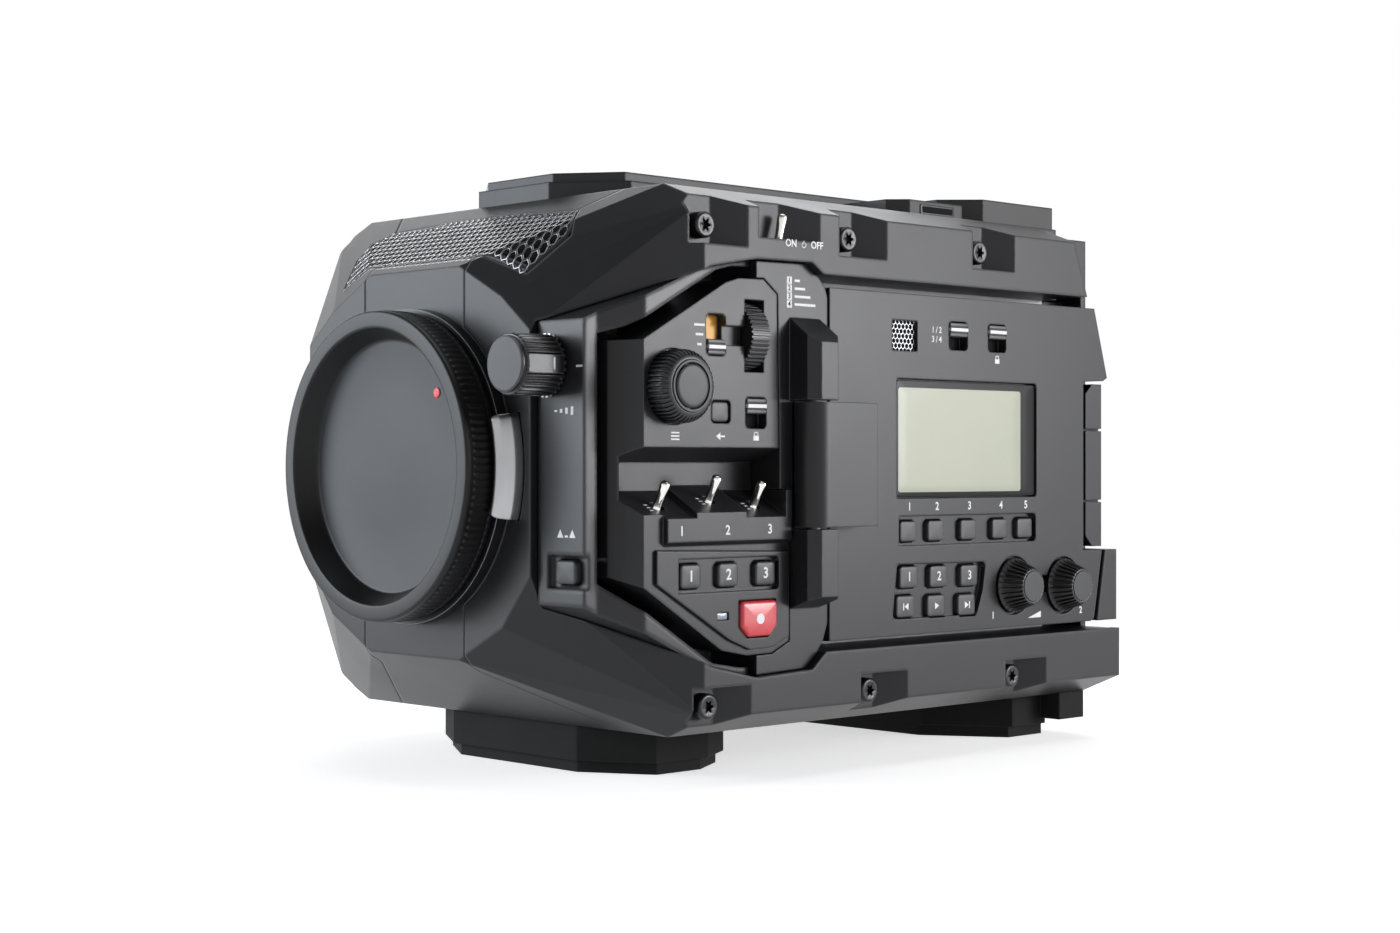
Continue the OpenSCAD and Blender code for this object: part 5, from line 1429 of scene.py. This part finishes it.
@dataclass
class RecordPanel:
    """The lower panel: three function keys, a small lamp and the red record key."""

    face: float = 70.4
    keys: tuple[tuple[str, float], ...] = (("function_button_1", -24.387),
                                           ("function_button_2", -12.402),
                                           ("frame_rate_button", -0.182))
    key_z: float = 49.816
    key_form: Form = (6.5, 5.6, 1.1, 3.0, 0.5, 0.1)
    key_recess: Box = (-28.57, 4.095, 45.922, 53.887)
    record: Pair = (-3.19, 39.2845)
    record_size: Pair = (11.9, 8.4)
    record_rise: float = 0.9
    chamfer: float = 2.4
    dot: tuple[Pair, ...] = ((1.25, 0.85), (1.25, 1.07), (0.3, 1.09))
    lamp: Point = (70.05, -14.47, 40.258)
    lamp_form: Form = (3.5, 1.6, 0.4, 0.6, 0.15, 0.05)

    def record_key(self) -> Shape:
        """The record key: a rectangle with two cut lower corners, rounded all over."""
        w, h, c = self.record_size[0] / 2, self.record_size[1] / 2, self.chamfer
        corners = [(c - w, -h), (w - c, -h), (w, c - h), (w, h), (-w, h), (-w, c - h)]
        seat = Seat.side(self.face + self.record_rise, *self.record)
        return soft_block(seat, rounded(corners, 1.0), depth=3.7, fillet=0.85, crown=0.15, steps=6)

    def build(self, maker: Maker) -> None:
        """Dresses the panel and builds its keys, lamp and marks."""
        maker.dress(PANEL, "record_panel")
        for node, y in self.keys:
            maker.key(node + "_cap", node, Seat.side(self.face - KEY_SINK, y, self.key_z),
                      self.key_form)
        for number, (node, y) in enumerate(self.keys, 1):
            shape = text_shape(Seat.side(self.face - SIGN_SINK), str(number), 2.5, y, self.key_z)
            maker.piece(node + "_number", shape, node, PRINT)
        corners = corner_fills(self.face, (box_corners(self.key_recess), 1.3))
        maker.fixed("record_corners", corners, PANEL)
        maker.own("record_key", self.record_key(), "record_button", RED)
        dot = lathe(Seat.side(self.face, *self.record), self.dot, 32)
        maker.piece("record_dot", dot, "record_button", PRINT)
        maker.fixed("record_lamp", soft_box(Seat.side(*self.lamp), *self.lamp_form), LAMP)


@dataclass
class Door:
    """The side door: display, keys, knobs, slides, speaker mesh and printed marks."""

    face: float = 70.0
    corner: Pair = (22.0, 32.5)
    size: Pair = (106.6, 86.0)
    glass: Box = (47.6, 96.6, 68.5, 94.9)
    glass_form: Form = (0.8, 0.04, 0.02)
    bezel: Box = (46.95, 102.6, 67.3, 96.7)
    bezel_form: Form = (0.9, 1.7, 0.15)
    display_keys: tuple[float, ...] = (0.276, 0.376, 0.497, 0.618, 0.716)
    display_key_z: float = 0.304
    display_form: Form = (6.3, 5.2, 0.9, 3.0, 0.4, 0.08)
    transport: tuple[Pair, ...] = ((0.278, 0.17), (0.386, 0.168), (0.5, 0.166), (0.266, 0.084),
                                   (0.377, 0.081), (0.49, 0.078))
    transport_form: Form = (6.9, 5.5, 0.9, 3.0, 0.4, 0.08)
    transport_area: tuple[Pair, ...] = ((0.232, 0.21), (0.56, 0.206), (0.548, 0.12), (0.525, 0.047),
                                        (0.215, 0.05))
    knobs: tuple[Pair, Pair] = ((93.422, 43.508), (114.635, 42.82))
    knob_flutes: int = 27
    mesh: Box = (44.81, 54.51, 104.05, 111.79)
    recesses: tuple[Recess, ...] = tuple((box_corners(box), radius) for box, radius in (
        ((66.7, 74.3, 104.91, 112.31), 1.3), ((82.48, 90.08, 104.91, 112.31), 1.3),
        ((46.52, 103.02, 66.9, 97.17), 1.2), ((47.37, 102.7, 55.03, 62.6), 1.4), (mesh, 0.8)))
    words: tuple[Words, ...] = (
        ("1 / 2", 1.5, 61.9, 109.8), ("3 / 4", 1.5, 61.9, 107.4), ("1", 1.8, 84.6, 35.9),
        ("2", 1.8, 122.4, 35.7))
    wedge: tuple[Pair, ...] = ((99.2, 34.6), (104.8, 34.6), (104.8, 36.3))
    slides: tuple[Slide, ...] = tuple(
        Slide(node, 70.0, (y, 110.21), 6.9, (105.1, 112.1, 7.2), floor, 109.0)
        for node, y, floor in (("channel_switch", 70.5, ORANGE),
                               ("door_lock_switch", 86.28, MARKER_RED)))

    def spot(self, share: Pair) -> Pair:
        """A place on the door from shares of its length and height."""
        return (self.corner[0] + share[0] * self.size[0], self.corner[1] + share[1] * self.size[1])

    def over(self, box: Box, rise: float, trim: float, form: Form) -> Shape:
        """A soft box over a box on the door.

        Args:
            box: The box in Y and Z.
            rise: Height of the top over the door's face.
            trim: How much smaller than the box it is.
            form: Corner radius, depth and fillet.

        Returns:
            The soft box.
        """
        seat = Seat.side(self.face + rise, (box[0] + box[1]) / 2, (box[2] + box[3]) / 2)
        return soft_box(seat, box[1] - box[0] - trim, box[3] - box[2] - trim, *form)

    def display(self, maker: Maker) -> None:
        """Builds the dark bezel and the pale glass in it."""
        bezel = self.over(self.bezel, -0.45, 0.0, self.bezel_form)
        maker.piece("display_bezel", bezel, "door", BEZEL, ["status_display"])
        glass = self.over(self.glass, -0.41, 0.0, self.glass_form)
        maker.piece("display_glass", glass, "door", LCD)
        maker.dress(TOUCH, "touch_display")

    def keys(self, maker: Maker) -> None:
        """Builds the five display keys and the six transport keys."""
        for number, share in enumerate(self.display_keys, 1):
            node = f"display_button_{number}"
            seat = Seat.side(self.face - KEY_SINK, *self.spot((share, self.display_key_z)))
            maker.key(node + "_cap", node, seat, self.display_form)
        for number, share in enumerate(self.transport, 1):
            node = f"transport_button_{number}"
            middle = self.spot(share)
            maker.key(node + "_cap", node, Seat.side(self.face - KEY_SINK, *middle),
                      self.transport_form)
            shape = self.key_sign(number, Seat.side(self.face - SIGN_SINK, *middle))
            maker.piece(node + "_sign", shape, node, PRINT)

    def key_sign(self, number: int, seat: Seat) -> Shape:
        """The sign on a transport key: numbers above, back, play and forward below.

        Args:
            number: The key's place, from 1.
            seat: The key's middle.

        Returns:
            The sign.
        """
        if number <= 3:
            return text_shape(seat, str(number), 2.3)
        if number == 5:
            return sign(seat, (-0.7, -0.9), (0.9, 0.0), (-0.7, 0.9))
        way = number - 5
        arrow = [(way * y, way * z) for y, z in ((-0.9, -0.9), (0.6, 0.0), (-0.9, 0.9))]
        return Shape.joined([sign(seat, *arrow), *bars(seat, (0.95 * way, 0.0, 0.35, 1.8))])

    def volume_knob(self, seat: Seat) -> Shape:
        """A cone with flutes that run out toward its flat top, on its shaft."""
        profile = [(0.3, -8.0), (1.5, -8.0), (1.5, -1.25), (6.9, -1.25), (7.15, -1.1), (7.2, -0.8),
                   (7.2, 0.5), (7.0, 0.8), (6.75, 1.2), (6.2, 2.6), (5.7, 4.0), (5.2, 5.4),
                   (5.0, 5.9), (4.75, 6.25), (4.4, 6.42), (4.15, 6.42), (4.1, 6.2), (0.3, 6.2)]

        def flute(radius: Array, height: Array, angle: Array) -> tuple[Array, Array]:
            """Cuts the flutes between the collar and the top's edge."""
            window = np.clip((height - 0.6) / 0.5, 0, 1) * np.clip((6.4 - height) / 0.5, 0, 1)
            return radius - 0.8 * window * wave(angle, self.knob_flutes, 4.5), height

        return lathe(seat, profile, self.knob_flutes * 6, flute)

    def speaker(self, maker: Maker) -> None:
        """Builds the speaker's perforated sheet and its dark floor."""
        low_y, high_y, low_z, high_z = self.mesh
        width, height = high_y - low_y, high_z - low_z
        flat, cells = honeycomb(box_outline(width - 0.2, height - 0.2, 0.3), 1.4, 0.74)
        seat = Seat.side(self.face - 0.75, (low_y + high_y) / 2, (low_z + high_z) / 2)
        points = seat.points(np.clip(flat[:, 0], -width / 2, width / 2),
                             np.clip(flat[:, 1], -height / 2, height / 2), 0.0)
        maker.sheet("speaker_mesh", Shape(points, cells), "door", 0.3, -1.0)
        floor = self.over(self.mesh, -1.5, 0.1, (0.2, 0.08, 0.02))
        maker.piece("speaker_floor", floor, "door", DARK)

    def marks(self) -> Shape:
        """White print on the door: numbers over the display keys, by the slides and the knobs."""
        seat = Seat.side(self.face)
        numbers = [(str(number), 2.0, self.spot((share, 0.0))[0], 64.8)
                   for number, share in enumerate(self.display_keys, 1)]
        return Shape.joined([*prints(seat, *numbers, *self.words), sign(seat, *self.wedge),
                             *padlock(seat, 86.3, 102.6)])

    def build(self, maker: Maker) -> None:
        """Dresses the door and builds everything on it."""
        maker.dress(PANEL, "door_shell")
        self.display(maker)
        self.keys(maker)
        self.speaker(maker)
        for number, middle in enumerate(self.knobs, 1):
            node = f"volume_knob_{number}"
            seat = Seat.side(self.face, *middle)
            maker.own(node + "_grip", self.volume_knob(seat), node, FLUTES)
            top = lathe(seat, [(4.0, 6.1), (4.0, 6.5), (3.9, 6.59), (3.6, 6.6), (0.3, 6.55)], 56)
            maker.piece(node + "_top", top, node, DISC)
        for slide in self.slides:
            slide.build(maker, "door")
        area = [self.spot(share) for share in self.transport_area]
        fills = corner_fills(self.face, *self.recesses, (area, 1.3))
        maker.piece("door_corners", fills, "door", PANEL)
        maker.piece("door_marks", self.marks(), "door", PRINT)


@dataclass
class FarEnd:
    """Rosette on the far side, port cover, and the sockets and contacts at the rear."""

    rosette: Point = (-72.0, 40.0, 75.0)
    rosette_r: float = 15.9
    teeth: int = 60
    rear_y: float = 138.0
    sockets: tuple[float, ...] = (52.0, 68.0, 84.0, 100.0)
    socket_x: float = -46.0
    plate_y: float = 143.0
    contact_z: float = 76.0
    contact_block: Form = (22.0, 12.0, 1.2, 1.2, 0.4)
    contact_strip: Form = (1.6, 8.0, 0.3, 0.5, 0.2)
    contacts: tuple[float, ...] = (-7.5, -2.5, 2.5, 7.5)

    def toothed_ring(self) -> Shape:
        """The rosette: a ring whose face rises and falls in sixty straight teeth."""
        r = self.rosette_r
        profile = [(3.0, -1.0), (3.0, -3.4), (15.7, -3.4), (r, -3.2), (r, 1.0), (r - 0.1, 1.4),
                   (r - 0.3, 1.5), (12.5, 1.5), (9.4, 1.5), (9.2, 1.3), (8.3, 1.0), (8.0, 0.8),
                   (8.0, -0.95), (7.8, -1.0), (3.05, -1.0)]

        def teeth(radius: Array, height: Array, angle: Array) -> tuple[Array, Array]:
            """Raises the face's rings by a triangle wave of the angle."""
            share = (angle * self.teeth / (2 * math.pi)) % 1
            tooth = 1 - np.abs(2 * share - 1)
            return radius, height + np.where((height > 1.35) & (radius > 9.3), tooth * 0.85, 0.0)

        return lathe(Seat.on(self.rosette, Facing.FAR), profile, self.teeth * 6, teeth).open()

    def socket(self, z: float) -> Shape:
        """A round signal socket: a collar round a recessed centre pin."""
        ring = [(5.6, -0.5), (5.6, 0.9), (5.3, 1.2), (4.7, 1.2), (4.6, 1.4), (4.6, 4.2), (4.4, 4.5),
                (4.0, 4.5), (3.9, 4.3), (3.9, 0.6), (1.2, 0.6), (1.2, 3.0), (0.9, 3.2), (0.2, 3.2)]
        return lathe(Seat.on((self.socket_x, self.rear_y, z), Facing.REAR), ring, 48)

    def contact(self, x: float, rise: float, form: Form) -> Shape:
        """A soft box on the battery plate, its top at a rise over the plate."""
        return soft_box(Seat.on((x, self.plate_y + rise, self.contact_z), Facing.REAR), *form)

    def build(self, maker: Maker) -> None:
        """Dresses the port cover and builds the far side's and the rear's pieces."""
        maker.dress(PANEL, "port_cover")
        maker.piece("rosette_teeth", self.toothed_ring(), "camera_body", STEEL,
                    ["rosette"], 25.0)
        maker.fixed("signal_sockets", Shape.joined(map(self.socket, self.sockets)),
                    STEEL)
        maker.fixed("contact_block", self.contact(0.0, 0.6, self.contact_block), DARK)
        strips = [self.contact(x, 0.85, self.contact_strip) for x in self.contacts]
        maker.fixed("contact_strips", Shape.joined(strips), BRASS)


@dataclass
class Studio:
    """Floor, world, soft lights and the camera at the photograph's viewing angle."""

    eye: Point = (0.4423, -0.376, 0.075)
    look: Point = (-0.7242, 0.6896, 0.0)
    lens: float = 57.6
    floor_half: float = 6.0
    floor_fade: Pair = (0.22, 0.6)
    floor_lift: float = 0.62
    ceiling: Pair = (0.3, 0.75)
    ceiling_colour: Colour = (0.1, 0.1, 0.105)
    fill_colour: Colour = (0.17, 0.17, 0.18)
    lamps: tuple[tuple[str, Point, Point, float, float, Colour], ...] = (
        ("overhead", (0.0, 0.35, 1.3), (0.0, 0.05, 0.08), 1.2, 6.0, (0.97, 0.98, 1.0)),
        ("side", (1.12, 0.78, 0.3), (0.07, 0.0, 0.09), 0.8, 7.6, (0.98, 0.98, 1.0)),
        ("panel", (0.99, 0.78, 0.22), (0.07, -0.02, 0.09), 0.34, 5.4, (0.98, 0.98, 1.0)),
        ("front", (-0.88, -1.0, 0.3), (0.0, -0.05, 0.08), 1.0, 20.0, (0.86, 0.93, 1.0)),
        ("far", (-1.1, 0.9, 0.5), (0.0, 0.05, 0.08), 0.9, 7.0, (0.97, 0.98, 1.0)))

    def floor(self) -> None:
        """Makes the pale floor, which keeps the shadow and glows a little toward the camera."""
        mesh = bpy.data.meshes.new("floor")
        half = self.floor_half
        mesh.from_pydata([(-half, -half, 0), (half, -half, 0), (half, half, 0), (-half, half, 0)],
                         [], [(0, 1, 2, 3)])
        tree = ShaderTree("floor_white")
        grain = tree.noise(tree.place(), 300.0, 2.0)
        colour = tree.blend(grain, (0.86, 0.86, 0.86), (0.9, 0.9, 0.9))
        x, y, _ = tree.parts(tree.place())
        away = ((x * x + y * y) ** 0.5).rise(*self.floor_fade)
        matt = tree.node("ShaderNodeBsdfDiffuse", inputs={"Color": colour}).outputs[0]
        lift, white = (
            tree.node("ShaderNodeEmission",
                      inputs={"Color": WHITE, "Strength": strength}).outputs[0]
            for strength in (self.floor_lift, 1.0))
        lit = tree.node("ShaderNodeAddShader", inputs={0: matt, 1: lift}).outputs[0]
        shown = tree.shown()
        near = tree.node("ShaderNodeMixShader", inputs={0: shown, 1: matt, 2: lit}).outputs[0]
        both = tree.node("ShaderNodeMixShader", inputs={0: shown * away, 1: near, 2: white})
        mesh.materials.append(tree.surface(both))
        item = add_object("floor", mesh)
        item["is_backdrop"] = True

    def world(self) -> None:
        """Makes a white backdrop for camera, glossy and clear rays, a softer light for the rest."""
        tree = ShaderTree("studio", world=True)
        _, _, up = tree.parts(tree.node("ShaderNodeTexCoord").outputs["Generated"])
        high = up.rise(*self.ceiling)
        soft, white = (tree.node("ShaderNodeBackground", inputs={
            "Color": tree.blend(high, low, self.ceiling_colour)}).outputs[0]
                       for low in (self.fill_colour, WHITE))
        mix = tree.node("ShaderNodeMixShader", inputs={0: tree.shown(), 1: soft, 2: white})
        bpy.context.scene.world = tree.surface(mix)

    def lights(self) -> None:
        """Hangs the soft lamps, each turned toward its aim."""
        for name, spot, aim, size, power, colour in self.lamps:
            lamp = bpy.data.lights.new(name, "AREA")
            lamp.shape, lamp.size, lamp.energy, lamp.color = "SQUARE", size, power, colour
            item = add_object(name, lamp)
            item.location = spot
            way = Vector(aim) - Vector(spot)
            item.rotation_euler = way.to_track_quat("-Z", "Y").to_euler()

    def camera(self) -> None:
        """Sets the camera where the photograph was taken from."""
        data = bpy.data.cameras.new("studio_camera")
        data.lens, data.sensor_width, data.clip_start = self.lens, 36.0, 0.01
        item = add_object("studio_camera", data)
        item.location = self.eye
        item.rotation_euler = Vector(self.look).to_track_quat("-Z", "Y").to_euler()
        bpy.context.scene.camera = item

    def build(self) -> None:
        """Sets up the whole studio."""
        bpy.context.scene.view_settings.view_transform = "Standard"
        self.floor()
        self.world()
        self.lights()
        self.camera()


def corners(bounds: Iterable[Vector]) -> list[list[float]]:
    """Box corners as plain lists of numbers."""
    return [[float(part) for part in corner] for corner in bounds]


def main() -> None:
    """Builds the studio and every sub-assembly."""
    logging.basicConfig(level=logging.INFO, format="%(name)s: %(message)s")
    cad_box = corners(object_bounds())
    maker = Maker()
    Studio().build()
    for part in (Casings(), Deck(), Microphones(), LensEnd(), FilterControls(), ControlPanel(),
                 FilterList(), RecordPanel(), Door(), FarEnd()):
        LOG.info("building %s", type(part).__name__)
        part.build(maker)
    {"cad": cad_box, "visual": corners(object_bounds())}


if __name__ == "__main__":
    main()
